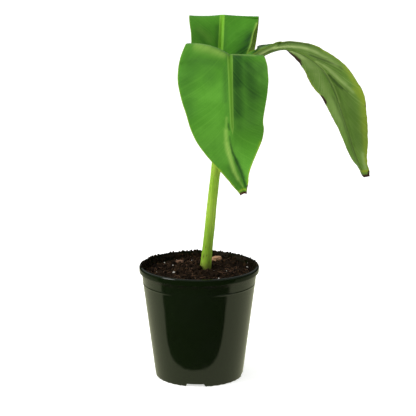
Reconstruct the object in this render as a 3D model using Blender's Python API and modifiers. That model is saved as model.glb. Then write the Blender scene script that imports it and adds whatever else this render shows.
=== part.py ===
"""Potted banana plant: a young banana with three leaves in a moulded nursery pot.

Metres, +Z up. The origin is the middle of the pot's base, X runs to the right and Y to the back.
"""
import math
from collections import namedtuple

import bmesh
import bpy
import numpy as np
from mathutils import Matrix, Vector, noise

# Pot
POT_HEIGHT = 0.145
RIM_RADIUS = 0.0767
WALL_TOP_RADIUS = 0.0737
BASE_RADIUS = 0.0564
WALL = 0.0013
LIP_HEIGHT = 0.0082
BEAD_HEIGHT = 0.1225
BEAD_STEP = 0.0005
FLOOR_RISE = 0.004
FOOT_WIDTH = 0.0034
CENTRE_PAD_RADIUS = 0.018
FLOOR = 0.0016
NOTCH_COUNT = 4
NOTCH_WIDTH = 0.024
NOTCH_TURN = math.radians(-94.8)
NOTCH_CORNER = 0.0012
DRAIN_RADIUS = 0.005
DRAIN_CIRCLE = 0.038
POT_STEPS = 60

# Clearance between pieces that touch on the real plant
GAP = 0.0003

# Potting mix
SOIL_EDGE = 0.1345
SOIL_MOUND = 0.0068
SOIL_ROUGHNESS = 0.0012
SOIL_RINGS = 9
SOIL_STEPS = 56

# Pseudostem: the tight roll of leaf sheaths. Its middle line, with the radius at each point.
Ring = namedtuple("Ring", "x y z radius")
STEM = [
    Ring(0.0052, 0.0000, 0.1020, 0.0030),
    Ring(0.0054, 0.0000, 0.1045, 0.0056),
    Ring(0.0058, 0.0000, 0.1110, 0.0070),
    Ring(0.0066, 0.0000, 0.1240, 0.0072),
    Ring(0.0081, 0.0000, 0.1407, 0.0067),
    Ring(0.0101, 0.0000, 0.1620, 0.0062),
    Ring(0.0131, 0.0000, 0.1907, 0.0058),
    Ring(0.0170, 0.0000, 0.2300, 0.0056),
    Ring(0.0211, 0.0000, 0.2685, 0.0055),
    Ring(0.0240, 0.0001, 0.2950, 0.0060),
    Ring(0.0263, 0.0003, 0.3150, 0.0072),
    Ring(0.0284, 0.0005, 0.3320, 0.0088),
    Ring(0.0295, 0.0005, 0.3412, 0.0094),
    Ring(0.0297, 0.0005, 0.3428, 0.0086),
]
STEM_SIDES = 24
STEM_RINGS_BETWEEN = 2
SHEATH_RIDGE = 0.00022
SHEATH_EDGES = 3
SHEATH_TWIST = math.radians(150)
SHEATH_FROM = 0.143
SHEATH_FADE = 0.015

# The three petioles stand in round pockets in the throat of the pseudostem
POCKET_CIRCLE = 0.0048
POCKET_RADIUS = 0.0031
POCKET_DEPTH = 0.012
PETIOLE_INSET = 0.0005
PETIOLE_HALF_WIDTH = 0.0023
PETIOLE_DEPTH = 0.0030
PETIOLE_FOLD = 30
TIP_HALF_WIDTH = 0.0012

# Blades
BLADE = 0.0008
KEEL_HALF_WIDTH = 0.0026
WAVE_AT = 0.050
COLUMNS = 7

# A station on a leaf's midrib: its place, the bearing and tilt of the line across the leaf, how far
# each half folds up from that line, and how much more it turns on its way to the margin, in degrees.
Station = namedtuple("Station", "x y z yaw roll left right left_curl right_curl")
# The outline of a blade: at a distance along the leaf, how far each margin lies from the midrib
Edge = namedtuple("Edge", "along left right")
Leaf = namedtuple("Leaf", "name bearing stations outline keel waves wave_height rows_between color")
LEFT, RIGHT = 0, 1

LEAF_FRONT = Leaf(
    name="leaf_front",
    bearing=math.radians(-100),
    stations=[
        Station(0.0317, -0.0100, 0.3689, 0, 0, 56, 56, 0, 0),
        Station(0.0340, -0.0260, 0.3958, -3, -2, 38, 34, 0, 0),
        Station(0.0363, -0.0450, 0.4158, -8, -4, 26, 14, -30, 0),
        Station(0.0372, -0.0540, 0.4210, -8, -7, 24, 8, -45, -4),
        Station(0.0376, -0.0625, 0.4172, -8, -5, 14, 3, -32, -10),
        Station(0.0382, -0.0680, 0.3974, -6, 0, -3, -16, -4, -22),
        Station(0.0393, -0.0720, 0.3617, -4, 3, -6, -22, 0, -20),
        Station(0.0415, -0.0720, 0.3228, 0, 5, 4, -18, 5, -10),
        Station(0.0477, -0.0680, 0.2864, 0, 8, 14, 18, 0, 0),
        Station(0.0554, -0.0600, 0.2506, 0, 8, 40, 40, 0, 0),
    ],
    outline=[
        Edge(0.0480, 0.0023, 0.0023),
        Edge(0.0620, 0.0191, 0.0156),
        Edge(0.0760, 0.0326, 0.0267),
        Edge(0.0900, 0.0437, 0.0345),
        Edge(0.1040, 0.0534, 0.0385),
        Edge(0.1180, 0.0618, 0.0418),
        Edge(0.1320, 0.0645, 0.0468),
        Edge(0.1460, 0.0649, 0.0520),
        Edge(0.1600, 0.0629, 0.0517),
        Edge(0.1740, 0.0594, 0.0489),
        Edge(0.1880, 0.0545, 0.0460),
        Edge(0.2020, 0.0500, 0.0433),
        Edge(0.2120, 0.0457, 0.0424),
        Edge(0.2220, 0.0404, 0.0375),
        Edge(0.2360, 0.0320, 0.0275),
        Edge(0.2500, 0.0239, 0.0185),
        Edge(0.2620, 0.0174, 0.0128),
        Edge(0.2740, 0.0115, 0.0092),
        Edge(0.2820, 0.0052, 0.0052),
        Edge(0.2886, 0.0037, 0.0037),
    ],
    keel=0.0026, waves=5, wave_height=0.0008, rows_between=3,
    color=(0.075, 0.235, 0.028),
)

LEAF_BACK = Leaf(
    name="leaf_back",
    bearing=math.radians(120),
    stations=[
        Station(0.0272, 0.0115, 0.3660, 180, 0, 26, 52, 0, 0),
        Station(0.0264, 0.0185, 0.3900, 180, 0, 0, 38, 0, 0),
        Station(0.0267, 0.0245, 0.4144, 180, 0, 9, 31, 0, 0),
        Station(0.0281, 0.0290, 0.4391, 180, 0, 12, 22, 0, 0),
        Station(0.0290, 0.0325, 0.4559, 180, 0, 0, 4, 0, 0),
        Station(0.0295, 0.0375, 0.4607, 180, 0, -6, -9, 0, 0),
        Station(0.0301, 0.0430, 0.4575, 180, 0, -6, -9, 0, 0),
        Station(0.0310, 0.0500, 0.4145, 180, 0, -4, -4, 0, 0),
        Station(0.0318, 0.0500, 0.3632, 180, 0, -8, -8, 0, 0),
        Station(0.0331, 0.0450, 0.3148, 180, 0, 25, 25, 0, 0),
    ],
    outline=[
        Edge(0.0400, 0.0023, 0.0023),
        Edge(0.0480, 0.0166, 0.0152),
        Edge(0.0580, 0.0251, 0.0235),
        Edge(0.0700, 0.0306, 0.0305),
        Edge(0.0840, 0.0340, 0.0413),
        Edge(0.0980, 0.0394, 0.0418),
        Edge(0.1120, 0.0415, 0.0417),
        Edge(0.1260, 0.0454, 0.0417),
        Edge(0.1400, 0.0458, 0.0413),
        Edge(0.1600, 0.0441, 0.0397),
        Edge(0.1850, 0.0402, 0.0362),
        Edge(0.2100, 0.0340, 0.0306),
        Edge(0.2350, 0.0257, 0.0231),
        Edge(0.2560, 0.0167, 0.0150),
        Edge(0.2720, 0.0088, 0.0079),
        Edge(0.2864, 0.0030, 0.0030),
    ],
    keel=0.0024, waves=6, wave_height=0.0008, rows_between=3,
    color=(0.085, 0.260, 0.030),
)

LEAF_RIGHT = Leaf(
    name="leaf_right",
    bearing=math.radians(10),
    stations=[
        Station(0.0400, 0.0010, 0.3726, 90, -5, 56, 56, 0, 0),
        Station(0.0550, 0.0000, 0.3965, 90, -10, 42, 74, 0, 0),
        Station(0.0687, 0.0025, 0.4078, 90, -15, 20, 72, 0, 0),
        Station(0.0813, 0.0070, 0.4140, 90, -20, 8, 66, 0, 0),
        Station(0.0927, 0.0170, 0.4176, 91, -20, 1, 45, 0, 0),
        Station(0.1054, 0.0220, 0.4196, 92, -20, 2, 32, 0, 0),
        Station(0.1223, 0.0300, 0.4157, 97, -20, 6, 12, 0, 0),
        Station(0.1419, 0.0380, 0.4048, 107, -20, 4, 2, 0, 0),
        Station(0.1591, 0.0440, 0.3897, 113, -20, 9, -2, 0, 0),
        Station(0.1735, 0.0500, 0.3658, 122, -16, 10, -2, 0, 0),
        Station(0.1831, 0.0530, 0.3395, 122, -10, 18, 4, 0, 0),
        Station(0.1938, 0.0550, 0.3079, 121, -9, 14, 5, 0, 0),
        Station(0.2021, 0.0560, 0.2807, 121, -9, 14, 5, 0, 0),
        Station(0.2152, 0.0580, 0.2478, 121, -9, 22, 22, 0, 0),
    ],
    outline=[
        Edge(0.0680, 0.0023, 0.0023),
        Edge(0.0780, 0.0081, 0.0077),
        Edge(0.0880, 0.0141, 0.0125),
        Edge(0.0980, 0.0193, 0.0118),
        Edge(0.1080, 0.0239, 0.0162),
        Edge(0.1200, 0.0288, 0.0212),
        Edge(0.1340, 0.0318, 0.0259),
        Edge(0.1480, 0.0338, 0.0290),
        Edge(0.1620, 0.0370, 0.0306),
        Edge(0.1760, 0.0414, 0.0327),
        Edge(0.1900, 0.0388, 0.0371),
        Edge(0.2040, 0.0377, 0.0398),
        Edge(0.2180, 0.0408, 0.0396),
        Edge(0.2320, 0.0414, 0.0379),
        Edge(0.2460, 0.0402, 0.0341),
        Edge(0.2600, 0.0382, 0.0310),
        Edge(0.2740, 0.0339, 0.0313),
        Edge(0.2880, 0.0318, 0.0226),
        Edge(0.3020, 0.0279, 0.0200),
        Edge(0.3160, 0.0218, 0.0176),
        Edge(0.3280, 0.0162, 0.0166),
        Edge(0.3380, 0.0120, 0.0130),
        Edge(0.3460, 0.0088, 0.0102),
        Edge(0.3540, 0.0060, 0.0064),
    ],
    keel=0.0024, waves=7, wave_height=0.0009, rows_between=3,
    color=(0.130, 0.190, 0.075),
)

# Loose bits on the soil: centre, sizes along X, Y and Z, turn about Z in degrees
Bit = namedtuple("Bit", "name x y z size turn color")
BARK_TAN_COLOR = (0.42, 0.22, 0.10)
BARK_BROWN_COLOR = (0.15, 0.07, 0.035)
PERLITE_COLOR = (0.80, 0.78, 0.74)
BITS = [
    Bit("bark_chip_tan", 0.0225, 0.0370, 0.1434, (0.0150, 0.0100, 0.0072), 18, BARK_TAN_COLOR),
    Bit("bark_chip_brown", -0.0255, 0.0330, 0.1402, (0.0120, 0.0070, 0.0050), -12, BARK_BROWN_COLOR),
    Bit("perlite_front", -0.0315, -0.0210, 0.1402, (0.0036, 0.0032, 0.0028), 30, PERLITE_COLOR),
    Bit("perlite_stem", -0.0010, -0.0075, 0.1415, (0.0030, 0.0028, 0.0024), 70, PERLITE_COLOR),
    Bit("perlite_right", 0.0615, 0.0140, 0.1377, (0.0038, 0.0032, 0.0030), 10, PERLITE_COLOR),
]


def clear_scene():
    for item in list(bpy.data.objects):
        bpy.data.objects.remove(item, do_unlink=True)


def new_collection(name):
    group = bpy.data.collections.new(name)
    bpy.context.scene.collection.children.link(group)
    return group


def material(name, color, roughness, metallic=0.0):
    made = bpy.data.materials.new(name)
    made.use_nodes = True
    shader = made.node_tree.nodes["Principled BSDF"]
    shader.inputs["Base Color"].default_value = (*color, 1)
    shader.inputs["Roughness"].default_value = roughness
    shader.inputs["Metallic"].default_value = metallic
    made.diffuse_color = (*color, 1)
    return made


def add_object(name, mesh, group, finish=None):
    piece = bpy.data.objects.new(name, mesh)
    group.objects.link(piece)
    if finish:
        mesh.materials.append(finish)
    return piece


def baked(piece):
    """The piece with its modifiers applied, so that its mesh can be worked on."""
    depsgraph = bpy.context.evaluated_depsgraph_get()
    mesh = bpy.data.meshes.new_from_object(piece.evaluated_get(depsgraph))
    piece.modifiers.clear()
    piece.data = mesh
    return piece


def mesh_from(name, work):
    mesh = bpy.data.meshes.new(name)
    work.to_mesh(mesh)
    work.free()
    return mesh


def cut(piece, cutter):
    boolean = piece.modifiers.new("cut " + cutter.name, "BOOLEAN")
    boolean.operation = "DIFFERENCE"
    boolean.solver = "EXACT"
    boolean.object = cutter
    cutter.hide_render = True
    cutter.display_type = "WIRE"


def turned(name, profile, steps, group, finish=None):
    """A solid of revolution about Z, from (radius, height) points that run down the outer side."""
    work = bmesh.new()
    points = [work.verts.new((radius, 0, height)) for radius, height in profile]
    for one, other in zip(points, points[1:]):
        work.edges.new((one, other))
    piece = add_object(name, mesh_from(name, work), group, finish)
    screw = piece.modifiers.new("turn", "SCREW")
    screw.axis = "Z"
    screw.angle = 2 * math.pi
    screw.steps = steps
    screw.render_steps = steps
    screw.use_merge_vertices = True
    screw.merge_threshold = 0.00005
    return piece


def wall_radius(height):
    """Outer radius of the tapered pot wall at a height."""
    share = height / (POT_HEIGHT - LIP_HEIGHT)
    return BASE_RADIUS + (WALL_TOP_RADIUS - BASE_RADIUS) * share


def pot_profile():
    """From the middle of the inner floor, up the inside, over the rolled lip and down to the base."""
    lip_low = POT_HEIGHT - LIP_HEIGHT
    skirt = RIM_RADIUS - WALL
    inner = [
        (0, FLOOR),
        (CENTRE_PAD_RADIUS, FLOOR),
        (CENTRE_PAD_RADIUS + 0.002, FLOOR_RISE + FLOOR),
        (wall_radius(FLOOR_RISE) - WALL - 0.002, FLOOR_RISE + FLOOR),
        (wall_radius(0.008) - WALL, 0.008),
        (wall_radius(0.070) - WALL, 0.070),
        (wall_radius(lip_low) - WALL, lip_low),
        (wall_radius(lip_low) - WALL + 0.0008, POT_HEIGHT - 0.0012),
        (wall_radius(lip_low) - WALL + 0.0016, POT_HEIGHT - 0.0002),
    ]
    lip = [
        (RIM_RADIUS - 0.0022, POT_HEIGHT),
        (RIM_RADIUS - 0.0008, POT_HEIGHT - 0.0008),
        (RIM_RADIUS, POT_HEIGHT - 0.0028),
        (RIM_RADIUS - 0.0001, lip_low + 0.0010),
        (RIM_RADIUS - 0.0006, lip_low),
        (skirt, lip_low + 0.0004),
        (skirt, POT_HEIGHT - 0.0032),
        (WALL_TOP_RADIUS + 0.0004, POT_HEIGHT - 0.0032),
        (WALL_TOP_RADIUS, lip_low),
    ]
    outer = [
        (wall_radius(BEAD_HEIGHT + 0.0012), BEAD_HEIGHT + 0.0012),
        (wall_radius(BEAD_HEIGHT) + BEAD_STEP, BEAD_HEIGHT),
        (wall_radius(BEAD_HEIGHT - 0.0012), BEAD_HEIGHT - 0.0012),
        (wall_radius(0.060), 0.060),
        (wall_radius(0.002), 0.002),
        (BASE_RADIUS - 0.0010, 0),
    ]
    under = [
        (BASE_RADIUS - FOOT_WIDTH, 0),
        (BASE_RADIUS - FOOT_WIDTH - 0.001, FLOOR_RISE),
        (CENTRE_PAD_RADIUS + 0.002 + WALL, FLOOR_RISE),
        (CENTRE_PAD_RADIUS + WALL, 0),
        (0, 0),
    ]
    return inner + lip + outer + under


def box_cutter(name, size, location, turn, group):
    work = bmesh.new()
    bmesh.ops.create_cube(work, size=1)
    bmesh.ops.scale(work, verts=work.verts, vec=size)
    along_x = [edge for edge in work.edges if abs(edge.verts[0].co.x - edge.verts[1].co.x) > 0.5 * size[0]]
    bmesh.ops.bevel(work, geom=along_x, offset=NOTCH_CORNER, segments=2, profile=0.5, affect="EDGES")
    piece = add_object(name, mesh_from(name, work), group)
    piece.location = location
    piece.rotation_euler = (0, 0, turn)
    return piece


def cylinder_cutter(name, radius, depth, location, direction, sides, group):
    work = bmesh.new()
    bmesh.ops.create_cone(work, cap_ends=True, segments=sides, radius1=radius, radius2=radius, depth=depth)
    piece = add_object(name, mesh_from(name, work), group)
    piece.matrix_world = Matrix.Translation(location) @ direction.to_track_quat("Z", "Y").to_matrix().to_4x4()
    return piece


def make_pot(group, cutters):
    plastic = material("pot_plastic", (0.012, 0.020, 0.011), 0.32)
    pot = turned("pot", pot_profile(), POT_STEPS, group, plastic)
    for number in range(NOTCH_COUNT):
        angle = NOTCH_TURN + number * 2 * math.pi / NOTCH_COUNT
        notch_at = (BASE_RADIUS * math.cos(angle), BASE_RADIUS * math.sin(angle), 0)
        notch_size = (4 * FOOT_WIDTH, NOTCH_WIDTH, 2 * (FLOOR_RISE - GAP))
        cut(pot, box_cutter("notch_%d" % (number + 1), notch_size, notch_at, angle, cutters))
        drain_at = (DRAIN_CIRCLE * math.cos(angle), DRAIN_CIRCLE * math.sin(angle), FLOOR_RISE)
        cut(pot, cylinder_cutter("drain_%d" % (number + 1), DRAIN_RADIUS, 3 * FLOOR_RISE,
                                 drain_at, Vector((0, 0, 1)), 20, cutters))
    baked(pot)
    pot.data.shade_smooth()
    pot.data.set_sharp_from_angle(angle=math.radians(40))
    return pot


def soil_height(x, y):
    """Height of the potting mix: a low mound, banked up at the back right, with crumbs."""
    reach = wall_radius(SOIL_EDGE) - WALL
    share = min(math.hypot(x, y) / reach, 1)
    mound = SOIL_MOUND * (1 - share ** 2)
    bank = 0.0030 * max(0, (0.5 * x + y) / reach) ** 2
    heap = 0.0020 * math.exp(-((x - 0.036) ** 2 + (y - 0.026) ** 2) / 0.014 ** 2)
    crumbs = SOIL_ROUGHNESS * noise.noise(Vector((x * 150, y * 150, 2.0)))
    return SOIL_EDGE + mound + bank + heap + crumbs


def soil_profile():
    """From the middle of the top, out to the wall and down to the middle of the floor."""
    reach = wall_radius(SOIL_EDGE) - WALL - GAP
    top = [(reach * ring / SOIL_RINGS, SOIL_EDGE) for ring in range(SOIL_RINGS + 1)]
    low = FLOOR_RISE + FLOOR + GAP
    side = [
        (wall_radius(0.070) - WALL - GAP, 0.070),
        (wall_radius(0.0082) - WALL - GAP, 0.0082),
        (wall_radius(FLOOR_RISE) - WALL - 0.0026, low),
        (0, low),
    ]
    return top + side


def make_soil(group, cutters, sockets):
    mix = material("potting_mix", (0.030, 0.018, 0.012), 0.95)
    soil = baked(turned("soil", soil_profile(), SOIL_STEPS, group, mix))
    for vert in soil.data.vertices:
        if vert.co.z > SOIL_EDGE - 0.0001:
            vert.co.z = soil_height(vert.co.x, vert.co.y)
    work = bmesh.new()
    work.from_mesh(soil.data)
    bmesh.ops.triangulate(work, faces=work.faces)
    work.to_mesh(soil.data)
    work.free()
    for socket in sockets:
        cut(soil, socket)
    baked(soil)
    soil.data.shade_smooth()
    soil.data.set_sharp_from_angle(angle=math.radians(50))
    return soil


def smooth_run(points, per_span):
    """Points along a centripetal Catmull-Rom curve through the given ones, per_span to each span."""
    p = np.array(points, float)
    p = np.vstack([2 * p[0] - p[1], p, 2 * p[-1] - p[-2]])
    run = []
    for i in range(1, len(p) - 2):
        p0, p1, p2, p3 = p[i - 1:i + 3]
        t0 = 0.0
        t1 = t0 + np.linalg.norm(p1 - p0) ** 0.5
        t2 = t1 + np.linalg.norm(p2 - p1) ** 0.5
        t3 = t2 + np.linalg.norm(p3 - p2) ** 0.5
        for t in np.linspace(t1, t2, per_span, endpoint=False):
            a1 = (t1 - t) / (t1 - t0) * p0 + (t - t0) / (t1 - t0) * p1
            a2 = (t2 - t) / (t2 - t1) * p1 + (t - t1) / (t2 - t1) * p2
            a3 = (t3 - t) / (t3 - t2) * p2 + (t - t2) / (t3 - t2) * p3
            b1 = (t2 - t) / (t2 - t0) * a1 + (t - t0) / (t2 - t0) * a2
            b2 = (t3 - t) / (t3 - t1) * a2 + (t - t1) / (t3 - t1) * a3
            run.append((t2 - t) / (t2 - t1) * b1 + (t - t1) / (t2 - t1) * b2)
    run.append(p[-2])
    return np.array(run)


def eased(at, values, where):
    """A smooth curve through values set at the places in at, read at the places in where."""
    at, values = np.array(at, float), np.array(values, float)
    slope = np.gradient(values, at, axis=0)
    slope[0] = slope[-1] = 0
    span = np.clip(np.searchsorted(at, where, side="right") - 1, 0, len(at) - 2)
    width = at[span + 1] - at[span]
    u = ((where - at[span]) / width)[:, None]
    rise = values[span + 1] - values[span]
    into, out = slope[span] * width[:, None], slope[span + 1] * width[:, None]
    return values[span] + u * (into + u * (3 * rise - 2 * into - out + u * (into + out - 2 * rise)))


def stem_mesh(name, rings, spread, with_ridges):
    """The pseudostem as a tube of rings round its leaning middle line."""
    rows = smooth_run([tuple(ring) for ring in rings], STEM_RINGS_BETWEEN)
    height = rows[-1][2] - rows[0][2]
    work = bmesh.new()
    bmesh.ops.create_cone(work, cap_ends=True, cap_tris=True, segments=STEM_SIDES,
                          radius1=1, radius2=1, depth=1)
    walls = [edge for edge in work.edges if abs(edge.verts[0].co.z - edge.verts[1].co.z) > 0.5]
    bmesh.ops.subdivide_edges(work, edges=walls, cuts=len(rows) - 2, use_grid_fill=True)
    for vert in work.verts:
        row = rows[round((vert.co.z + 0.5) * (len(rows) - 1))]
        turn = math.atan2(vert.co.y, vert.co.x)
        radius = row[3] + spread
        if with_ridges:
            phase = SHEATH_EDGES * (turn + SHEATH_TWIST * (row[2] - rows[0][2]) / height)
            shown = min(max((row[2] - SHEATH_FROM) / SHEATH_FADE, 0), 1)
            radius += shown * SHEATH_RIDGE * (math.sin(phase) + math.sin(2 * phase + 1))
        if math.hypot(vert.co.x, vert.co.y) < 0.5:
            radius = 0
        low = row[2] - (spread if row[2] < rings[2].z else 0)
        vert.co = (row[0] + radius * math.cos(turn), row[1] + radius * math.sin(turn), low)
    bmesh.ops.triangulate(work, faces=work.faces)
    bmesh.ops.recalc_face_normals(work, faces=work.faces)
    return mesh_from(name, work)


def stem_axis():
    """Top of the pseudostem and the direction that its last stretch leans in."""
    top, below = Vector(STEM[-1][:3]), Vector(STEM[-3][:3])
    return top, (top - below).normalized()


def make_pseudostem(group, cutters):
    skin = material("stem_green", (0.30, 0.42, 0.055), 0.45)
    stem = add_object("pseudostem", stem_mesh("pseudostem", STEM, 0, True), group, skin)
    top, axis = stem_axis()
    for leaf in (LEAF_FRONT, LEAF_BACK, LEAF_RIGHT):
        outward = Vector((math.cos(leaf.bearing), math.sin(leaf.bearing), 0))
        middle = top + POCKET_CIRCLE * outward
        cut(stem, cylinder_cutter("pocket_" + leaf.name, POCKET_RADIUS, 2 * POCKET_DEPTH,
                                  middle, axis, 16, cutters))
    baked(stem)
    stem.data.shade_smooth()
    stem.data.set_sharp_from_angle(angle=math.radians(50))
    return stem


def leaf_stations(leaf):
    """The leaf's own stations after two more that stand its petiole straight in its pocket."""
    top, axis = stem_axis()
    outward = Vector((math.cos(leaf.bearing), math.sin(leaf.bearing), 0))
    seat = top + (POCKET_CIRCLE - PETIOLE_INSET) * outward
    yaw = math.degrees(leaf.bearing) + 90
    petiole = []
    for along in (GAP - POCKET_DEPTH, 0.002):
        place = seat + along * axis
        petiole.append(Station(place.x, place.y, place.z, yaw, 0, PETIOLE_FOLD, PETIOLE_FOLD, 0, 0))
    return petiole + leaf.stations


def half_widths(leaf, along, side):
    """Distance from midrib to margin at each place along the leaf."""
    at = [edge.along for edge in leaf.outline]
    width = eased(at, [[edge[1 + side]] for edge in leaf.outline], np.clip(along, at[0], at[-1]))[:, 0]
    share = np.clip((along - at[0]) / (at[-1] - at[0]), 0, 1)
    least = PETIOLE_HALF_WIDTH + (TIP_HALF_WIDTH - PETIOLE_HALF_WIDTH) * share
    return np.maximum(width, least)


def leaf_surface(leaf):
    """Grid of points on the leaf's upper face, and its thickness at each of them."""
    stations = leaf_stations(leaf)
    fine = 12 * leaf.rows_between
    line = smooth_run([station[:3] for station in stations], fine)
    run = np.concatenate([[0], np.cumsum(np.linalg.norm(np.diff(line, axis=0), axis=1))])
    along = run[::fine // leaf.rows_between]
    place = line[::fine // leaf.rows_between]
    step = 0.0015
    ahead = np.stack([np.interp(along + step, run, line[:, k]) for k in range(3)], 1)
    behind = np.stack([np.interp(along - step, run, line[:, k]) for k in range(3)], 1)
    forward = ahead - behind
    forward /= np.linalg.norm(forward, axis=1)[:, None]
    angles = np.radians(eased(run[::fine], [station[3:] for station in stations], along))
    yaw, roll = angles[:, 0], angles[:, 1]
    across = np.stack([np.cos(yaw) * np.cos(roll), np.sin(yaw) * np.cos(roll), np.sin(roll)], 1)
    across -= (across * forward).sum(1)[:, None] * forward
    across /= np.linalg.norm(across, axis=1)[:, None]
    upward = np.cross(forward, across)
    base, tip = leaf.outline[0].along, leaf.outline[-1].along
    blade_share = np.clip((along - base) / (tip - base), 0, 1)
    in_petiole = np.clip(1 - (along - 0.6 * base) / (0.4 * base), 0, 1)
    keel = np.where(in_petiole > 0, PETIOLE_DEPTH * in_petiole + leaf.keel * (1 - in_petiole),
                    leaf.keel + (1.5 * BLADE - leaf.keel) * blade_share)
    grid = np.zeros((len(along), 2 * COLUMNS + 1, 3))
    thick = np.zeros((len(along), 2 * COLUMNS + 1))
    grid[:, COLUMNS] = place
    thick[:, COLUMNS] = keel
    for side, sign in ((LEFT, -1), (RIGHT, 1)):
        fold = angles[:, 2 + side]
        curl = np.where(np.abs(angles[:, 4 + side]) < 0.0001, 0.0001, angles[:, 4 + side])
        width = half_widths(leaf, along, side)
        rib = np.minimum(KEEL_HALF_WIDTH, 0.7 * width)
        for column in range(1, COLUMNS + 1):
            out = rib * column / 2 if column < 3 else rib + (width - rib) * (column - 2) / (COLUMNS - 2)
            v = out / width
            reach = width * (np.sin(fold + curl * v) - np.sin(fold)) / curl
            lift = -width * (np.cos(fold + curl * v) - np.cos(fold)) / curl
            wave = np.sin(2 * np.pi * leaf.waves * blade_share + 1.3 * side)
            lift = lift + leaf.wave_height * wave * v ** 2 * (1 - in_petiole) * width / WAVE_AT
            grid[:, COLUMNS + sign * column] = place + sign * across * reach[:, None] + upward * lift[:, None]
            round_share = np.sqrt(np.clip(1 - (out / np.maximum(rib, 0.0001)) ** 2, 0, 1))
            petiole_share = np.sqrt(np.clip(1 - v ** 2, 0, 1))
            share = in_petiole * petiole_share + (1 - in_petiole) * round_share
            thick[:, COLUMNS + sign * column] = BLADE + (keel - BLADE) * share
    return grid, thick


def make_leaf(leaf, group):
    """The upper face as a grid split into triangles, thickened towards the underside."""
    grid, thick = leaf_surface(leaf)
    rows, columns = thick.shape
    work = bmesh.new()
    bmesh.ops.create_grid(work, x_segments=columns - 1, y_segments=rows - 1, size=0.5)
    for vert in work.verts:
        row = round((vert.co.y + 0.5) * (rows - 1))
        column = round((vert.co.x + 0.5) * (columns - 1))
        vert.index = row * columns + column
    work.verts.sort()
    for vert in work.verts:
        vert.co = grid[vert.index // columns, vert.index % columns]
    bmesh.ops.triangulate(work, faces=work.faces, quad_method="FIXED")
    blade = material(leaf.name + "_green", leaf.color, 0.42)
    piece = add_object(leaf.name, mesh_from(leaf.name, work), group, blade)
    thickest = float(thick.max())
    weights = piece.vertex_groups.new(name="thickness")
    for index, value in enumerate(thick.reshape(-1)):
        weights.add([index], float(value) / thickest, "REPLACE")
    solid = piece.modifiers.new("thickness", "SOLIDIFY")
    solid.thickness = thickest
    solid.offset = 1
    solid.vertex_group = "thickness"
    solid.thickness_vertex_group = 0
    baked(piece)
    piece.data.shade_smooth()
    piece.data.set_sharp_from_angle(angle=math.radians(60))
    return piece


def bit_mesh(name, bit, spread):
    """A small broken lump: a ball with dents, squashed to the bit's size."""
    work = bmesh.new()
    bmesh.ops.create_icosphere(work, subdivisions=2, radius=1)
    seed = 7.0 * len(bit.name)
    for vert in work.verts:
        vert.co *= 1 + 0.16 * noise.noise(vert.co * 1.7 + Vector((seed, 0, 0)))
        vert.co = [vert.co[k] * (bit.size[k] / 2 + spread) for k in range(3)]
    return mesh_from(name, work)


def make_bit(bit, group, finish):
    piece = add_object(bit.name, bit_mesh(bit.name, bit, 0), group, finish)
    piece.location = (bit.x, bit.y, bit.z)
    piece.rotation_euler = (0, 0, math.radians(bit.turn))
    return piece


def bit_socket(bit, cutters):
    socket = add_object("seat_" + bit.name, bit_mesh("seat_" + bit.name, bit, GAP), cutters)
    socket.location = (bit.x, bit.y, bit.z)
    socket.rotation_euler = (0, 0, math.radians(bit.turn))
    return socket


def main():
    clear_scene()
    plant = new_collection("potted_banana_plant")
    cutters = new_collection("cutters")
    make_pot(plant, cutters)
    make_pseudostem(plant, cutters)
    for leaf in (LEAF_FRONT, LEAF_BACK, LEAF_RIGHT):
        make_leaf(leaf, plant)
    finishes = {}
    sockets = [add_object("stem_hole", stem_mesh("stem_hole", STEM, GAP, False), cutters)]
    for bit in BITS:
        if bit.color not in finishes:
            finishes[bit.color] = material(bit.name.rsplit("_", 1)[0] + "_dry", bit.color, 0.9)
        make_bit(bit, plant, finishes[bit.color])
        sockets.append(bit_socket(bit, cutters))
    make_soil(plant, cutters, sockets)


main()
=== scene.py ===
"""Potted banana plant: a young banana with three leaves in a moulded nursery pot, in full detail.

Metres, +Z up. The origin is the middle of the pot's base, X runs to the right and Y to the back.
"""
import math
from collections import namedtuple

import bmesh
import bpy
import numpy as np
from mathutils import Euler, Matrix, Vector, noise


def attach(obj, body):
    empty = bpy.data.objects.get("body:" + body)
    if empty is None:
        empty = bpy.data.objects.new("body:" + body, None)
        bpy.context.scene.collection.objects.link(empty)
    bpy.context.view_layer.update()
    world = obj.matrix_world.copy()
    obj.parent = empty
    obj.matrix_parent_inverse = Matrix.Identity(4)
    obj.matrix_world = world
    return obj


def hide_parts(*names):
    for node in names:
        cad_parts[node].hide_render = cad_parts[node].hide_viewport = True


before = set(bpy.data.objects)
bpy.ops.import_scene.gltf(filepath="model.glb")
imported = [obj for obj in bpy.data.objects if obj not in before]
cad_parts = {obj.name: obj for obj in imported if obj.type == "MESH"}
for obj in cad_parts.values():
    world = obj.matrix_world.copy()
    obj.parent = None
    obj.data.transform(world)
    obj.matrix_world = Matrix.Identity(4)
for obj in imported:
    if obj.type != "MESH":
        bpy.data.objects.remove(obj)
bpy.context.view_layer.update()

FULL_TURN = 6.28

# Pot
POT_HEIGHT = 0.145
RIM_RADIUS = 0.0767
WALL_TOP_RADIUS = 0.0737
BASE_RADIUS = 0.0564
WALL = 0.0013
LIP_HEIGHT = 0.0082
BEAD_HEIGHT = 0.1225
BEAD_STEP = 0.0005
FLOOR_RISE = 0.004
FOOT_WIDTH = 0.0034
CENTRE_PAD_RADIUS = 0.018
FLOOR = 0.0016
NOTCH_COUNT = 4
NOTCH_WIDTH = 0.024
NOTCH_TURN = math.radians(-94.8)
NOTCH_EASE = 0.0012
SCALLOP_PITCH = 0.0089
SCALLOP_HEIGHT = 0.0007
DRAIN_RADIUS = 0.005
DRAIN_CIRCLE = 0.038
POT_STEPS = 288

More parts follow.
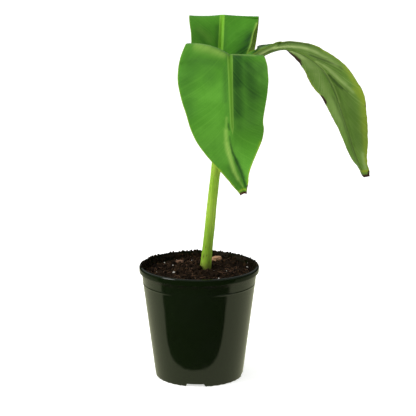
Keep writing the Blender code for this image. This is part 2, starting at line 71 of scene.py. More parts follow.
# Potting mix
SOIL_EDGE = 0.1345
SOIL_MOUND = 0.0068
SOIL_BANK = 0.0030
HEAP_HEIGHT = 0.0020
HEAP_AT = (0.036, 0.026)
HEAP_WIDTH = 0.014
CLOD_RELIEF = 0.0022
CRUMB_RELIEF = 0.0012
PIT_RELIEF = -0.0016
GRIT_RELIEF = 0.0005
SOIL_RINGS = 96
SOIL_STEPS = 320
LUMP_DEPTH = 0.5
CLOD_COUNT = 150
CLOD_SIZES = (0.0016, 0.0034)
CRUMB_COUNT = 1300
CRUMB_SIZES = (0.0005, 0.0015)
FIBRE_COUNT = 70
FIBRE_REACH = 0.060
FIBRE_LENGTHS = (0.005, 0.016)
FIBRE_RADIUS = 0.00016
FIBRE_STEPS = 9
RIM_DIRT_COUNT = 330
RIM_DIRT_SIZES = (0.0005, 0.0014)
RIM_DIRT_BEARING = math.radians(95)
RIM_DIRT_SPREAD = 0.75

# Pseudostem, as its middle line with the radius at each point
Ring = namedtuple("Ring", "x y z radius")
STEM = [
    Ring(0.0058, 0.0000, 0.1110, 0.0070),
    Ring(0.0066, 0.0000, 0.1240, 0.0073),
    Ring(0.0081, 0.0000, 0.1407, 0.0068),
    Ring(0.0101, 0.0000, 0.1620, 0.0062),
    Ring(0.0131, 0.0000, 0.1907, 0.0058),
    Ring(0.0170, 0.0000, 0.2300, 0.0056),
    Ring(0.0211, 0.0000, 0.2685, 0.0054),
    Ring(0.0240, 0.0001, 0.2950, 0.0053),
    Ring(0.0263, 0.0003, 0.3150, 0.0052),
    Ring(0.0284, 0.0005, 0.3320, 0.0050),
    Ring(0.0297, 0.0005, 0.3428, 0.0044),
    Ring(0.0303, 0.0005, 0.3480, 0.0024),
]
STEM_SIDES = 96
STEM_WOBBLE = 0.00025
STEM_RINGS_BETWEEN = 14
SHEATH_STEP = 0.00045
SHEATH_EDGES = 3
SHEATH_TWIST = math.radians(75)
# Brown marks on the stem: bearing in degrees, height, half width and half height
STEM_MARKS = [(-125, 0.1575, 0.0007, 0.0026), (-90, 0.1588, 0.0005, 0.0012), (-60, 0.1500, 0.0005, 0.0020),
              (-140, 0.1470, 0.0008, 0.0014), (-112, 0.1700, 0.0004, 0.0016)]

# Leaves
BLADE = 0.0005
MARGIN_THICKNESS = 0.0003
RIB_HALF_WIDTH = 0.0034
GROOVE_HALF_WIDTH = 0.0026
GROOVE_DEPTH = 0.0005
PETIOLE_HALF_WIDTH = 0.0042
PETIOLE_DEPTH = 0.0026
SHEATH_WRAP = 118
SHEATH_THICKNESS = 0.0006
# The sheath below each petiole: heights with its distance from the stem's middle line
SHEATH_ROWS = [(0.262, 0.0052), (0.285, 0.0054), (0.305, 0.0057), (0.322, 0.0061), (0.336, 0.0066)]
# Distances below the petiole with the sheath's half width
SHEATH_WIDTHS = [(0.0, 0.0042), (0.012, 0.0072), (0.030, 0.0112), (0.055, 0.0110), (0.085, 0.0080),
                 (0.115, 0.0030)]
TIP_HALF_WIDTH = 0.0012
LEAST_CURL = 0.0001
RIB_DRAWN = 0.0043
RIB_FADE = 0.020
RIB_COLUMNS = 9
BLADE_COLUMNS = 40
# Columns of half a leaf: 0 to 1 across the rib, 1 to 2 across the blade
COLUMNS = np.concatenate([np.arange(RIB_COLUMNS) / RIB_COLUMNS, 1 + np.linspace(0, 1, BLADE_COLUMNS + 1)])
WAVE_AT = 0.050
VEIN_PITCH = 0.0046
VEIN_RELIEF = 0.00006
SHEATH_GREEN = (0.215, 0.350, 0.030, 1)
Station = namedtuple("Station", "x y z yaw roll left right left_curl right_curl")
Edge = namedtuple("Edge", "along left right")
# A soft stroke of colour on a blade, through places given as distances along and out from the midrib
Stroke = namedtuple("Stroke", "width strength places")
# Of these, dark strokes are painted shade and pale strokes are painted highlight and sheen; lime, tan and
# brown are the leaf's own yellowing and scars
STROKE_KINDS = ("dark", "pale", "lime", "tan", "brown")
Leaf = namedtuple("Leaf", "name bearing hug stations start outline keel waves wave_height rows_between "
                  "ruffle slant rib_end strokes seed")
LEFT, RIGHT = 0, 1

LEAF_FRONT = Leaf(
    name="front_leaf",
    bearing=math.radians(-100),
    hug=0.0012,
    stations=[
        Station(0.0317, -0.0100, 0.3689, 0, 0, 56, 56, 0, 0),
        Station(0.0340, -0.0260, 0.3958, -3, -2, 38, 34, 0, 0),
        Station(0.0363, -0.0450, 0.4158, -8, -4, 26, 14, -30, 0),
        Station(0.0372, -0.0540, 0.4210, -8, -7, 24, 8, -45, -4),
        Station(0.0376, -0.0625, 0.4172, -8, -5, 14, 3, -32, -10),
        Station(0.0382, -0.0680, 0.3974, -6, 0, -3, -16, -4, -22),
        Station(0.0393, -0.0720, 0.3617, -4, 3, -6, -22, 0, -20),
        Station(0.0415, -0.0720, 0.3228, 0, 5, 4, -18, 5, -10),
        Station(0.0477, -0.0680, 0.2864, 0, 8, 14, 18, 0, 0),
        Station(0.0554, -0.0600, 0.2506, 0, 8, 40, 40, 0, 0),
    ],
    start=0.03883,
    outline=[
        Edge(0.0480, 0.0023, 0.0023), Edge(0.0620, 0.0191, 0.0156), Edge(0.0760, 0.0326, 0.0267),
        Edge(0.0900, 0.0437, 0.0345), Edge(0.1040, 0.0534, 0.0385), Edge(0.1180, 0.0618, 0.0418),
        Edge(0.1320, 0.0645, 0.0468), Edge(0.1460, 0.0649, 0.0520), Edge(0.1600, 0.0629, 0.0517),
        Edge(0.1740, 0.0594, 0.0489), Edge(0.1880, 0.0545, 0.0460), Edge(0.2020, 0.0500, 0.0433),
        Edge(0.2120, 0.0457, 0.0424), Edge(0.2220, 0.0404, 0.0375), Edge(0.2360, 0.0320, 0.0275),
        Edge(0.2500, 0.0239, 0.0185), Edge(0.2620, 0.0174, 0.0128), Edge(0.2740, 0.0125, 0.0098),
        Edge(0.2820, 0.0086, 0.0064), Edge(0.2886, 0.0062, 0.0046),
    ],
    keel=0.0026, waves=5, wave_height=0.0008, rows_between=26, ruffle=0.0006,
    slant=1.35, rib_end=0.222,
    strokes={
        # Painted shade: on the right half, over the upper blade and along the shaded side of the crease to
        # the tip
        "dark": [
            Stroke(0.0125, 0.95, [(0.1160, 0.0080), (0.1500, 0.0080)]),
            Stroke(0.0080, 0.42, [(0.1180, -0.0500), (0.1250, -0.0140)]),
            Stroke(0.0120, 0.30, [(0.1180, -0.0300), (0.1400, -0.0250)]),
            Stroke(0.0090, 0.48, [(0.1200, 0.0120), (0.1320, 0.0380)]),
            Stroke(0.0150, 0.42, [(0.1250, -0.0450), (0.1450, -0.0560)]),
            Stroke(0.0130, 0.72, [(0.1250, 0.0200), (0.1650, 0.0290)]),
            Stroke(0.0042, 0.45, [(0.1300, -0.0066), (0.1700, -0.0062)]),
            Stroke(0.0070, 0.30, [(0.1320, 0.0400), (0.1600, 0.0440)]),
            Stroke(0.0110, 0.34, [(0.1450, -0.0560), (0.1850, -0.0520)]),
            Stroke(0.0105, 0.78, [(0.1500, 0.0080), (0.1850, 0.0084)]),
            Stroke(0.0110, 0.40, [(0.1650, 0.0270), (0.1950, 0.0260)]),
            Stroke(0.0030, 0.20, [(0.1700, -0.0062), (0.1950, -0.0058)]),
            Stroke(0.0070, 0.36, [(0.1850, 0.0078), (0.2020, 0.0090)]),
            Stroke(0.0011, 0.80, [(0.1975, -0.0045), (0.2050, -0.0038)]),
            Stroke(0.0010, 0.60, [(0.2130, -0.0040), (0.2230, -0.0040)]),
            Stroke(0.0012, 0.90, [(0.2230, -0.0040), (0.2326, -0.0034)]),
            Stroke(0.0014, 0.95, [(0.2326, -0.0034), (0.2426, -0.0010)]),
            Stroke(0.0026, 0.98, [(0.2426, -0.0010), (0.2569, 0.0023)]),
            Stroke(0.0032, 0.30, [(0.2500, -0.0110), (0.2700, -0.0060)]),
            Stroke(0.0030, 0.98, [(0.2569, 0.0023), (0.2670, 0.0036)]),
            Stroke(0.0024, 0.95, [(0.2670, 0.0036), (0.2780, 0.0050)]),
        ],
        # Painted highlight and sheen: on the lit top of the fold and along the lit side of the crease to the
        # tip
        "pale": [
            Stroke(0.0040, 0.62, [(0.1085, -0.0420), (0.1110, -0.0260), (0.1145, -0.0080)]),
            Stroke(0.0020, 0.45, [(0.1115, 0.0040), (0.1160, 0.0300)]),
            Stroke(0.0014, 0.40, [(0.1900, -0.0062), (0.2050, -0.0078)]),
            Stroke(0.0024, 0.70, [(0.2050, -0.0078), (0.2200, -0.0088)]),
            Stroke(0.0029, 0.88, [(0.2200, -0.0088), (0.2310, -0.0084)]),
            Stroke(0.0007, 0.70, [(0.2250, -0.0062), (0.2430, -0.0052)]),
            Stroke(0.0026, 0.92, [(0.2310, -0.0084), (0.2430, -0.0072)]),
            Stroke(0.0025, 0.88, [(0.2430, -0.0072), (0.2560, -0.0060)]),
            Stroke(0.0006, 0.60, [(0.2430, -0.0052), (0.2600, -0.0034)]),
            Stroke(0.0022, 0.78, [(0.2560, -0.0060), (0.2680, -0.0030)]),
            Stroke(0.0013, 0.62, [(0.2680, -0.0030), (0.2790, 0.0006)]),
        ],
        "lime": [
            Stroke(0.0018, 0.62, [(0.2280, 0.0330), (0.2560, 0.0160), (0.2740, 0.0098)]),
            Stroke(0.0014, 0.60, [(0.2500, -0.0235), (0.2740, -0.0120)]),
            Stroke(0.0013, 0.80, [(0.2828, -0.0074), (0.2828, 0.0046)]),
        ],
        "brown": [
            Stroke(0.0018, 1.00, [(0.2775, 0.0086), (0.2850, 0.0064)]),
            Stroke(0.0036, 1.00, [(0.2885, -0.0052), (0.2885, 0.0040)]),
        ],
    },
    seed=1.0,
)

LEAF_BACK = Leaf(
    name="back_leaf",
    bearing=math.radians(120),
    hug=0.0,
    stations=[
        Station(0.0272, 0.0115, 0.3660, 180, 0, 26, 52, 0, 0),
        Station(0.0264, 0.0185, 0.3900, 180, 0, 0, 38, 0, 0),
        Station(0.0267, 0.0245, 0.4144, 180, 0, 9, 31, 0, 0),
        Station(0.0281, 0.0290, 0.4391, 180, 0, 12, 22, 0, 0),
        Station(0.0290, 0.0325, 0.4559, 180, 0, 0, 4, 0, 0),
        Station(0.0295, 0.0375, 0.4607, 180, 0, -6, -9, 0, 0),
        Station(0.0301, 0.0430, 0.4575, 180, 0, -6, -9, 0, 0),
        Station(0.0310, 0.0500, 0.4145, 180, 0, -4, -4, 0, 0),
        Station(0.0318, 0.0500, 0.3632, 180, 0, -8, -8, 0, 0),
        Station(0.0331, 0.0450, 0.3148, 180, 0, 25, 25, 0, 0),
    ],
    start=0.03621,
    outline=[
        Edge(0.0400, 0.0023, 0.0023), Edge(0.0480, 0.0166, 0.0152), Edge(0.0580, 0.0251, 0.0235),
        Edge(0.0700, 0.0306, 0.0305), Edge(0.0840, 0.0340, 0.0413), Edge(0.0980, 0.0394, 0.0418),
        Edge(0.1120, 0.0415, 0.0417), Edge(0.1260, 0.0454, 0.0417), Edge(0.1400, 0.0458, 0.0413),
        Edge(0.1600, 0.0441, 0.0397), Edge(0.1850, 0.0402, 0.0362), Edge(0.2100, 0.0340, 0.0306),
        Edge(0.2350, 0.0257, 0.0231), Edge(0.2560, 0.0167, 0.0150), Edge(0.2720, 0.0088, 0.0079),
        Edge(0.2864, 0.0030, 0.0030),
    ],
    keel=0.0024, waves=6, wave_height=0.0008, rows_between=26, ruffle=0.0006,
    slant=1.35, rib_end=0.290,
    strokes={
        # Painted shade: on the shaded half of the folded blade and beside the midrib
        "dark": [
            Stroke(0.0085, 0.92, [(0.0840, -0.0250), (0.0940, -0.0330)]),
            Stroke(0.0030, 0.25, [(0.0840, -0.0056), (0.1180, -0.0052)]),
            Stroke(0.0030, 0.35, [(0.0840, 0.0056), (0.1180, 0.0052)]),
            Stroke(0.0078, 0.92, [(0.0940, -0.0330), (0.1080, -0.0385)]),
            Stroke(0.0050, 0.20, [(0.1080, -0.0300), (0.0900, -0.0120)]),
            Stroke(0.0040, 0.22, [(0.1100, 0.0330), (0.0900, 0.0180)]),
        ],
        # Painted highlight along one margin, and faint painted sheen on the other half
        "pale": [
            Stroke(0.0016, 1.00, [(0.0800, -0.0335), (0.0985, -0.0390), (0.1240, -0.0440)]),
            Stroke(0.0050, 0.30, [(0.0900, 0.0370)]),
            Stroke(0.0050, 0.14, [(0.1010, 0.0160), (0.1120, 0.0300)]),
        ],
        "brown": [
            Stroke(0.0080, 1.00, [(0.2864, 0.0000)]),
        ],
    },
    seed=2.0,
)

LEAF_RIGHT = Leaf(
    name="right_leaf",
    bearing=math.radians(10),
    hug=0.0006,
    stations=[
        Station(0.0400, 0.0010, 0.3726, 90, -5, 56, 56, 0, 0),
        Station(0.0550, 0.0000, 0.3965, 90, -10, 42, 74, 0, 0),
        Station(0.0687, 0.0025, 0.4078, 90, -15, 20, 72, 0, 0),
        Station(0.0813, 0.0070, 0.4140, 90, -20, 8, 66, 0, 0),
        Station(0.0927, 0.0170, 0.4176, 91, -20, 1, 45, 0, 0),
        Station(0.1054, 0.0220, 0.4196, 92, -20, 2, 32, 0, 0),
        Station(0.1223, 0.0300, 0.4157, 97, -20, 6, 12, 0, 0),
        Station(0.1419, 0.0380, 0.4048, 107, -20, 4, 2, 0, 0),
        Station(0.1591, 0.0440, 0.3897, 113, -20, 9, -2, 0, 0),
        Station(0.1735, 0.0500, 0.3658, 122, -16, 10, -2, 0, 0),
        Station(0.1831, 0.0530, 0.3395, 122, -10, 18, 4, 0, 0),
        Station(0.1938, 0.0550, 0.3079, 121, -9, 14, 5, 0, 0),
        Station(0.2021, 0.0560, 0.2807, 121, -9, 14, 5, 0, 0),
        Station(0.2152, 0.0580, 0.2478, 121, -9, 22, 22, 0, 0),
    ],
    start=0.04219,
    outline=[
        Edge(0.0680, 0.0023, 0.0023), Edge(0.0780, 0.0081, 0.0077), Edge(0.0880, 0.0141, 0.0125),
        Edge(0.0980, 0.0193, 0.0118), Edge(0.1080, 0.0216, 0.0162), Edge(0.1140, 0.0236, 0.0190),
        Edge(0.1200, 0.0274, 0.0212), Edge(0.1340, 0.0312, 0.0224), Edge(0.1480, 0.0338, 0.0282),
        Edge(0.1620, 0.0370, 0.0306), Edge(0.1760, 0.0414, 0.0327), Edge(0.1900, 0.0388, 0.0371),
        Edge(0.2040, 0.0377, 0.0398), Edge(0.2180, 0.0408, 0.0396), Edge(0.2320, 0.0414, 0.0379),
        Edge(0.2460, 0.0402, 0.0341), Edge(0.2600, 0.0382, 0.0310), Edge(0.2740, 0.0339, 0.0313),
        Edge(0.2880, 0.0318, 0.0226), Edge(0.3020, 0.0279, 0.0200), Edge(0.3160, 0.0218, 0.0176),
        Edge(0.3280, 0.0162, 0.0166), Edge(0.3380, 0.0120, 0.0130), Edge(0.3460, 0.0112, 0.0118),
        Edge(0.3540, 0.0088, 0.0092),
    ],
    keel=0.0024, waves=7, wave_height=0.0009, rows_between=22, ruffle=0.0006,
    slant=2.7, rib_end=0.356,
    strokes={
        # Painted shade: in the creases and on the parts of the blade turned away from the light
        "dark": [
            Stroke(0.0030, 0.95, [(0.0941, 0.0077), (0.1021, 0.0112), (0.1177, 0.0195)]),
            Stroke(0.0024, 0.90, [(0.0974, 0.0055), (0.1156, 0.0085), (0.1322, 0.0165)]),
            Stroke(0.0013, 0.85, [(0.0990, -0.0036), (0.1163, -0.0032)]),
            Stroke(0.0040, 0.72, [(0.1149, -0.0215), (0.1316, -0.0268), (0.1512, -0.0310)]),
            Stroke(0.0013, 0.90, [(0.1163, -0.0032), (0.1329, 0.0004)]),
            Stroke(0.0012, 0.92, [(0.1329, 0.0004), (0.1480, 0.0010)]),
            Stroke(0.0012, 0.95, [(0.1480, 0.0010), (0.1716, 0.0008)]),
            Stroke(0.0026, 0.40, [(0.1512, -0.0320), (0.1660, -0.0350)]),
            Stroke(0.0008, 0.45, [(0.1640, -0.0130), (0.1740, -0.0200)]),
            Stroke(0.0026, 0.78, [(0.1694, -0.0088), (0.1781, -0.0129)]),
            Stroke(0.0011, 0.95, [(0.1716, 0.0008), (0.1942, 0.0024), (0.2125, 0.0026)]),
            Stroke(0.0010, 0.50, [(0.1760, -0.0175), (0.1860, -0.0262)]),
            Stroke(0.0030, 0.78, [(0.1781, -0.0129), (0.1856, -0.0179)]),
            Stroke(0.0010, 0.60, [(0.1800, -0.0085), (0.1930, -0.0150)]),
            Stroke(0.0026, 0.70, [(0.1856, -0.0179), (0.1942, -0.0234)]),
            Stroke(0.0008, 0.45, [(0.1860, -0.0062), (0.2010, -0.0140)]),
            Stroke(0.0010, 0.50, [(0.1930, -0.0150), (0.2070, -0.0250)]),
            Stroke(0.0020, 0.60, [(0.1942, -0.0234), (0.2034, -0.0290)]),
            Stroke(0.0008, 0.40, [(0.1960, -0.0055), (0.2120, -0.0125)]),
            Stroke(0.0008, 0.40, [(0.2010, -0.0140), (0.2130, -0.0230)]),
            Stroke(0.0024, 0.85, [(0.2090, -0.0028), (0.2165, -0.0052)]),
            Stroke(0.0012, 0.98, [(0.2125, 0.0026), (0.2308, 0.0026), (0.2486, 0.0017)]),
            Stroke(0.0034, 0.92, [(0.2165, -0.0052), (0.2240, -0.0078)]),
            Stroke(0.0034, 0.90, [(0.2240, -0.0078), (0.2300, -0.0120)]),
            Stroke(0.0042, 0.40, [(0.2240, -0.0035), (0.2600, -0.0040)]),
            Stroke(0.0020, 0.60, [(0.2300, -0.0120), (0.2350, -0.0185)]),
            Stroke(0.0110, 0.34, [(0.2350, -0.0150), (0.2700, -0.0140)]),
            Stroke(0.0034, 0.42, [(0.2420, 0.0090), (0.2620, 0.0072), (0.2899, 0.0060), (0.3144, 0.0040)]),
            Stroke(0.0012, 0.95, [(0.2486, 0.0017), (0.2732, 0.0015)]),
            Stroke(0.0040, 0.30, [(0.2600, -0.0040), (0.3100, -0.0030)]),
            Stroke(0.0090, 0.28, [(0.2700, -0.0140), (0.3100, -0.0100)]),
            Stroke(0.0012, 0.90, [(0.2732, 0.0015), (0.2884, 0.0011)]),
            Stroke(0.0026, 0.35, [(0.2855, -0.0225), (0.3092, -0.0160)]),
            Stroke(0.0011, 0.80, [(0.2884, 0.0011), (0.3214, -0.0002)]),
            Stroke(0.0030, 0.35, [(0.3144, 0.0040), (0.3294, 0.0030)]),
            Stroke(0.0010, 0.55, [(0.3214, 0.0002), (0.3441, 0.0000)]),
        ],
        # Painted sheen and highlight: along the lit half beside the midrib
        "pale": [
            Stroke(0.0042, 0.82, [(0.0994, -0.0072), (0.1130, -0.0092)]),
            Stroke(0.0022, 0.45, [(0.1034, 0.0088), (0.1180, 0.0140)]),
            Stroke(0.0046, 0.96, [(0.1130, -0.0092), (0.1303, -0.0082)]),
            Stroke(0.0048, 0.94, [(0.1303, -0.0082), (0.1420, -0.0125)]),
            Stroke(0.0044, 0.82, [(0.1420, -0.0125), (0.1560, -0.0190)]),
            Stroke(0.0060, 0.72, [(0.1420, 0.0090), (0.1562, 0.0170)]),
            Stroke(0.0038, 0.58, [(0.1560, -0.0190), (0.1683, -0.0245)]),
            Stroke(0.0060, 0.52, [(0.1562, 0.0110), (0.1720, 0.0140)]),
            Stroke(0.0040, 0.34, [(0.1683, -0.0245), (0.1813, -0.0262)]),
            Stroke(0.0060, 0.22, [(0.1720, 0.0140), (0.1900, 0.0180)]),
            Stroke(0.0060, 0.12, [(0.1740, 0.0100), (0.2060, 0.0150)]),
            Stroke(0.0046, 0.22, [(0.1813, -0.0262), (0.1960, -0.0260)]),
            Stroke(0.0020, 0.42, [(0.1830, -0.0030), (0.1931, -0.0062)]),
            Stroke(0.0006, 0.38, [(0.1860, -0.0014), (0.2100, -0.0008)]),
            Stroke(0.0028, 0.48, [(0.1931, -0.0062), (0.2034, -0.0094)]),
            Stroke(0.0034, 0.48, [(0.2034, -0.0094), (0.2151, -0.0140)]),
            Stroke(0.0080, 0.14, [(0.2060, 0.0190), (0.2334, 0.0190), (0.2700, 0.0170)]),
            Stroke(0.0006, 0.30, [(0.2100, -0.0008), (0.2486, -0.0008)]),
            Stroke(0.0034, 0.42, [(0.2151, -0.0140), (0.2250, -0.0205)]),
            Stroke(0.0030, 0.30, [(0.2250, -0.0205), (0.2360, -0.0260)]),
            Stroke(0.0030, 0.35, [(0.3220, -0.0120), (0.3424, -0.0070)]),
        ],
        "lime": [
            Stroke(0.0016, 0.40, [(0.1560, -0.0345), (0.1800, -0.0400)]),
            Stroke(0.0018, 0.50, [(0.1800, -0.0400), (0.2050, -0.0368)]),
            Stroke(0.0016, 0.55, [(0.1900, 0.0362), (0.2040, 0.0392)]),
            Stroke(0.0018, 0.70, [(0.2040, 0.0392), (0.2180, 0.0390), (0.2400, 0.0352)]),
            Stroke(0.0050, 0.45, [(0.2050, -0.0360), (0.2346, -0.0375)]),
            Stroke(0.0030, 0.40, [(0.2330, -0.0300), (0.2450, -0.0330)]),
            Stroke(0.0062, 0.58, [(0.2346, -0.0375), (0.2538, -0.0370)]),
            Stroke(0.0066, 0.42, [(0.2538, -0.0365), (0.2899, -0.0270)]),
            Stroke(0.0020, 0.50, [(0.2560, 0.0322), (0.2740, 0.0306)]),
            Stroke(0.0012, 0.40, [(0.2740, 0.0306), (0.2900, 0.0220)]),
            Stroke(0.0050, 0.34, [(0.2899, -0.0270), (0.3170, -0.0190)]),
            Stroke(0.0030, 0.50, [(0.3170, -0.0200), (0.3340, -0.0120)]),
            Stroke(0.0016, 0.80, [(0.3440, 0.0120), (0.3462, -0.0100)]),
        ],
        "brown": [
            Stroke(0.0042, 1.00, [(0.1530, 0.0282), (0.1620, 0.0278)]),
            Stroke(0.0056, 1.00, [(0.1620, 0.0278), (0.1730, 0.0278)]),
            Stroke(0.0040, 1.00, [(0.1730, 0.0290), (0.1800, 0.0330)]),
            Stroke(0.0050, 1.00, [(0.2435, 0.0335), (0.2480, 0.0318)]),
            Stroke(0.0018, 1.00, [(0.2579, -0.0386)]),
            Stroke(0.0018, 0.85, [(0.2670, 0.0322), (0.2750, 0.0314)]),
            Stroke(0.0036, 1.00, [(0.3545, -0.0070), (0.3490, -0.0110)]),
            Stroke(0.0050, 1.00, [(0.3545, 0.0080), (0.3545, -0.0080)]),
        ],
    },
    seed=3.0,
)

# Loose bits on the soil: centre, sizes along X, Y and Z, turn about Z in degrees
Bit = namedtuple("Bit", "name x y z size turn")
BARK_TAN = Bit("bark_chip_pale", 0.0225, 0.0370, 0.1434, (0.0150, 0.0100, 0.0072), 18)
BARK_BROWN = Bit("bark_chip_dark", -0.0255, 0.0330, 0.1402, (0.0120, 0.0070, 0.0050), -12)
PERLITE = [
    Bit("perlite_grain_front", -0.0315, -0.0210, 0.1402, (0.0036, 0.0032, 0.0028), 30),
    Bit("perlite_grain_stem", -0.0010, -0.0075, 0.1415, (0.0030, 0.0028, 0.0024), 70),
    Bit("perlite_grain_right", 0.0615, 0.0140, 0.1377, (0.0038, 0.0032, 0.0030), 10),
]
SMALL_PERLITE_SHARE = 0.42
# Small grains: place along X and Y, and size
SMALL_PERLITE = [
    (-0.0339, 0.0155, 0.0020), (-0.0416, 0.0123, 0.0016), (-0.0455, 0.0375, 0.0022),
    (0.0635, 0.0367, 0.0022), (0.0431, 0.0695, 0.0018), (0.0493, 0.0454, 0.0016),
    (0.0189, -0.0162, 0.0013), (0.0348, -0.0124, 0.0017), (-0.0100, 0.0420, 0.0014),
    (0.0120, 0.0560, 0.0016), (-0.0540, -0.0120, 0.0018), (0.0250, -0.0450, 0.0020),
    (-0.0080, -0.0520, 0.0016), (0.0480, -0.0300, 0.0015), (-0.0300, 0.0560, 0.0015),
    (0.0020, 0.0290, 0.0012),
]

# Camera, lights and floor
CAMERA_AT = (0.0113, -1.839, 0.621)
CAMERA_TILT = math.radians(77.68)
FOCAL_SHARE = 1483 / 416
SENSOR = 36
FLOOR_SIZE = 14
FLOOR_COLOR = (0.93, 0.93, 0.91, 1)
FLOOR_GLOW = 0.60
TABLE_EDGE = [(-0.60, -0.085), (-0.273, -0.077), (-0.153, -0.062), (-0.105, -0.068), (-0.059, -0.083),
              (-0.012, -0.095), (0.035, -0.098), (0.077, -0.104), (0.119, -0.116), (0.173, -0.137),
              (0.227, -0.161)]
TABLE_REACH = 0.60
TABLE_TINT = (0.66, 0.68, 0.46, 1)
ROOM_DARK = (0.02, 0.02, 0.016, 1)
ROOM_LIGHT = (0.85, 0.88, 0.90, 1)
DOME_LOW = (0.38, 0.39, 0.38, 1)
DOME_HIGH = (0.70, 0.71, 0.72, 1)
KEY_AT = (-1.75, -0.75, 1.35)
KEY_SIZE = 0.8
KEY_POWER = 37
FILL_AT = (1.5, -1.0, 0.9)
FILL_SIZE = 1.4
FILL_POWER = 2
AIM = Vector((0.03, 0, 0.27))


def node(tree, kind, values=(), **settings):
    """A shader node with its settings, and its inputs set to numbers or joined to other nodes."""
    made = tree.nodes.new(kind)
    for name, value in settings.items():
        setattr(made, name, value)
    for place, value in dict(values).items():
        socket = made.inputs[place]
        if isinstance(value, bpy.types.NodeSocket):
            tree.links.new(value, socket)
        else:
            socket.default_value = value
    return made


def new_material(name):
    made = bpy.data.materials.new(name)
    made.use_nodes = True
    return made, made.node_tree, made.node_tree.nodes["Principled BSDF"]


def mixed(tree, share, one, other, blend="MIX"):
    """One colour going over to another by a share."""
    made = node(tree, "ShaderNodeMix", {0: share, 6: one, 7: other}, data_type="RGBA", blend_type=blend)
    return made.outputs[2]


def sums(tree, operation, one, other=0.0, third=0.0, clamp=False):
    made = node(tree, "ShaderNodeMath", {0: one, 1: other, 2: third}, operation=operation, use_clamp=clamp)
    return made.outputs[0]


def between(tree, value, low, high):
    """0 where the value is at low and 1 where it is at high, smooth in between."""
    made = node(tree, "ShaderNodeMapRange", {0: value, 1: low, 2: high}, interpolation_type="SMOOTHSTEP")
    return made.outputs[0]


def speckle(tree, place, scale, detail=3.0, roughness=0.55):
    made = node(tree, "ShaderNodeTexNoise", {"Vector": place, "Scale": scale, "Detail": detail,
                                             "Roughness": roughness})
    return made.outputs["Fac"]


def own_place(tree):
    return node(tree, "ShaderNodeTexCoord").outputs["Object"]


def attribute(tree, name):
    return node(tree, "ShaderNodeAttribute", attribute_name=name).outputs["Fac"]


def bumped(tree, shader, height, distance, strength=1.0):
    bump = node(tree, "ShaderNodeBump", {"Height": height, "Distance": distance, "Strength": strength})
    tree.links.new(bump.outputs[0], shader.inputs["Normal"])


def color(red, green, blue):
    return (red, green, blue, 1)


def make_plastic():
    """Glossy green-black plastic with fine scuffs, dull where the mix has dusted it."""
    made, tree, shader = new_material("moulded_plastic")
    place = own_place(tree)
    broad = speckle(tree, place, 18)
    fine = speckle(tree, place, 900, 4, 0.7)
    base = mixed(tree, broad, color(0.0024, 0.0056, 0.0009), color(0.0042, 0.0076, 0.0024))
    height = node(tree, "ShaderNodeSeparateXYZ", {0: place}).outputs[2]
    across = node(tree, "ShaderNodeVectorMath", {0: place, 1: (1, 1, 0)}, operation="MULTIPLY").outputs[0]
    radius = node(tree, "ShaderNodeVectorMath", {0: across}, operation="LENGTH").outputs["Value"]
    inside = between(tree, radius, 0.0742, 0.0732)
    upper = sums(tree, "MULTIPLY", between(tree, height, 0.1300, 0.1430), inside)
    dust = sums(tree, "MULTIPLY", upper, between(tree, speckle(tree, place, 160, 5, 0.7), 0.36, 0.60))
    base = mixed(tree, sums(tree, "MULTIPLY", dust, 0.85), base, color(0.020, 0.012, 0.007))
    tree.links.new(base, shader.inputs["Base Color"])
    scuffed = between(tree, speckle(tree, place, 55, 5, 0.65), 0.45, 0.75)
    rough = sums(tree, "MULTIPLY_ADD", scuffed, 0.08, 0.10)
    tree.links.new(sums(tree, "MULTIPLY_ADD", dust, 0.5, rough), shader.inputs["Roughness"])
    lip = between(tree, height, POT_HEIGHT - LIP_HEIGHT - 0.0010, POT_HEIGHT - LIP_HEIGHT + 0.0008)
    tree.links.new(sums(tree, "MULTIPLY_ADD", lip, -0.38, 0.5), shader.inputs["Specular IOR Level"])
    grain = sums(tree, "MULTIPLY_ADD", speckle(tree, place, 130, 2), 3.0, fine)
    bumped(tree, shader, grain, 0.00002)
    return made


def make_mix(name, dark, light, scale):
    """Peat and bark: dark, with paler crumbs, and coarse all over."""
    made, tree, shader = new_material(name)
    place = own_place(tree)
    shade = attribute(tree, "shade")
    patches = speckle(tree, place, scale, 6, 0.7)
    tone = sums(tree, "MULTIPLY_ADD", shade, 0.6, sums(tree, "MULTIPLY", patches, 0.7))
    base = mixed(tree, between(tree, tone, 0.30, 0.95), dark, light)
    tree.links.new(base, shader.inputs["Base Color"])
    shader.inputs["Roughness"].default_value = 0.92
    shader.inputs["Specular IOR Level"].default_value = 0.06
    bumped(tree, shader, speckle(tree, place, 1100, 6, 0.75), 0.0005)
    return made


def make_bark(name, dark, light):
    """Dry bark: fibres that run lengthwise, in two tones."""
    made, tree, shader = new_material(name)
    place = own_place(tree)
    stretched = node(tree, "ShaderNodeVectorMath", {0: place, 1: (260, 1500, 1500)}, operation="MULTIPLY")
    fibres = speckle(tree, stretched.outputs[0], 1.0, 5, 0.65)
    base = mixed(tree, between(tree, fibres, 0.30, 0.70), dark, light)
    tree.links.new(base, shader.inputs["Base Color"])
    shader.inputs["Roughness"].default_value = 0.85
    bumped(tree, shader, fibres, 0.0004)
    return made


def make_perlite():
    made, tree, shader = new_material("perlite")
    place = own_place(tree)
    pores = speckle(tree, place, 1600, 4, 0.6)
    base = mixed(tree, between(tree, pores, 0.30, 0.62), color(0.28, 0.24, 0.19), color(0.66, 0.65, 0.60))
    tree.links.new(base, shader.inputs["Base Color"])
    shader.inputs["Roughness"].default_value = 0.9
    bumped(tree, shader, pores, 0.0003)
    return made


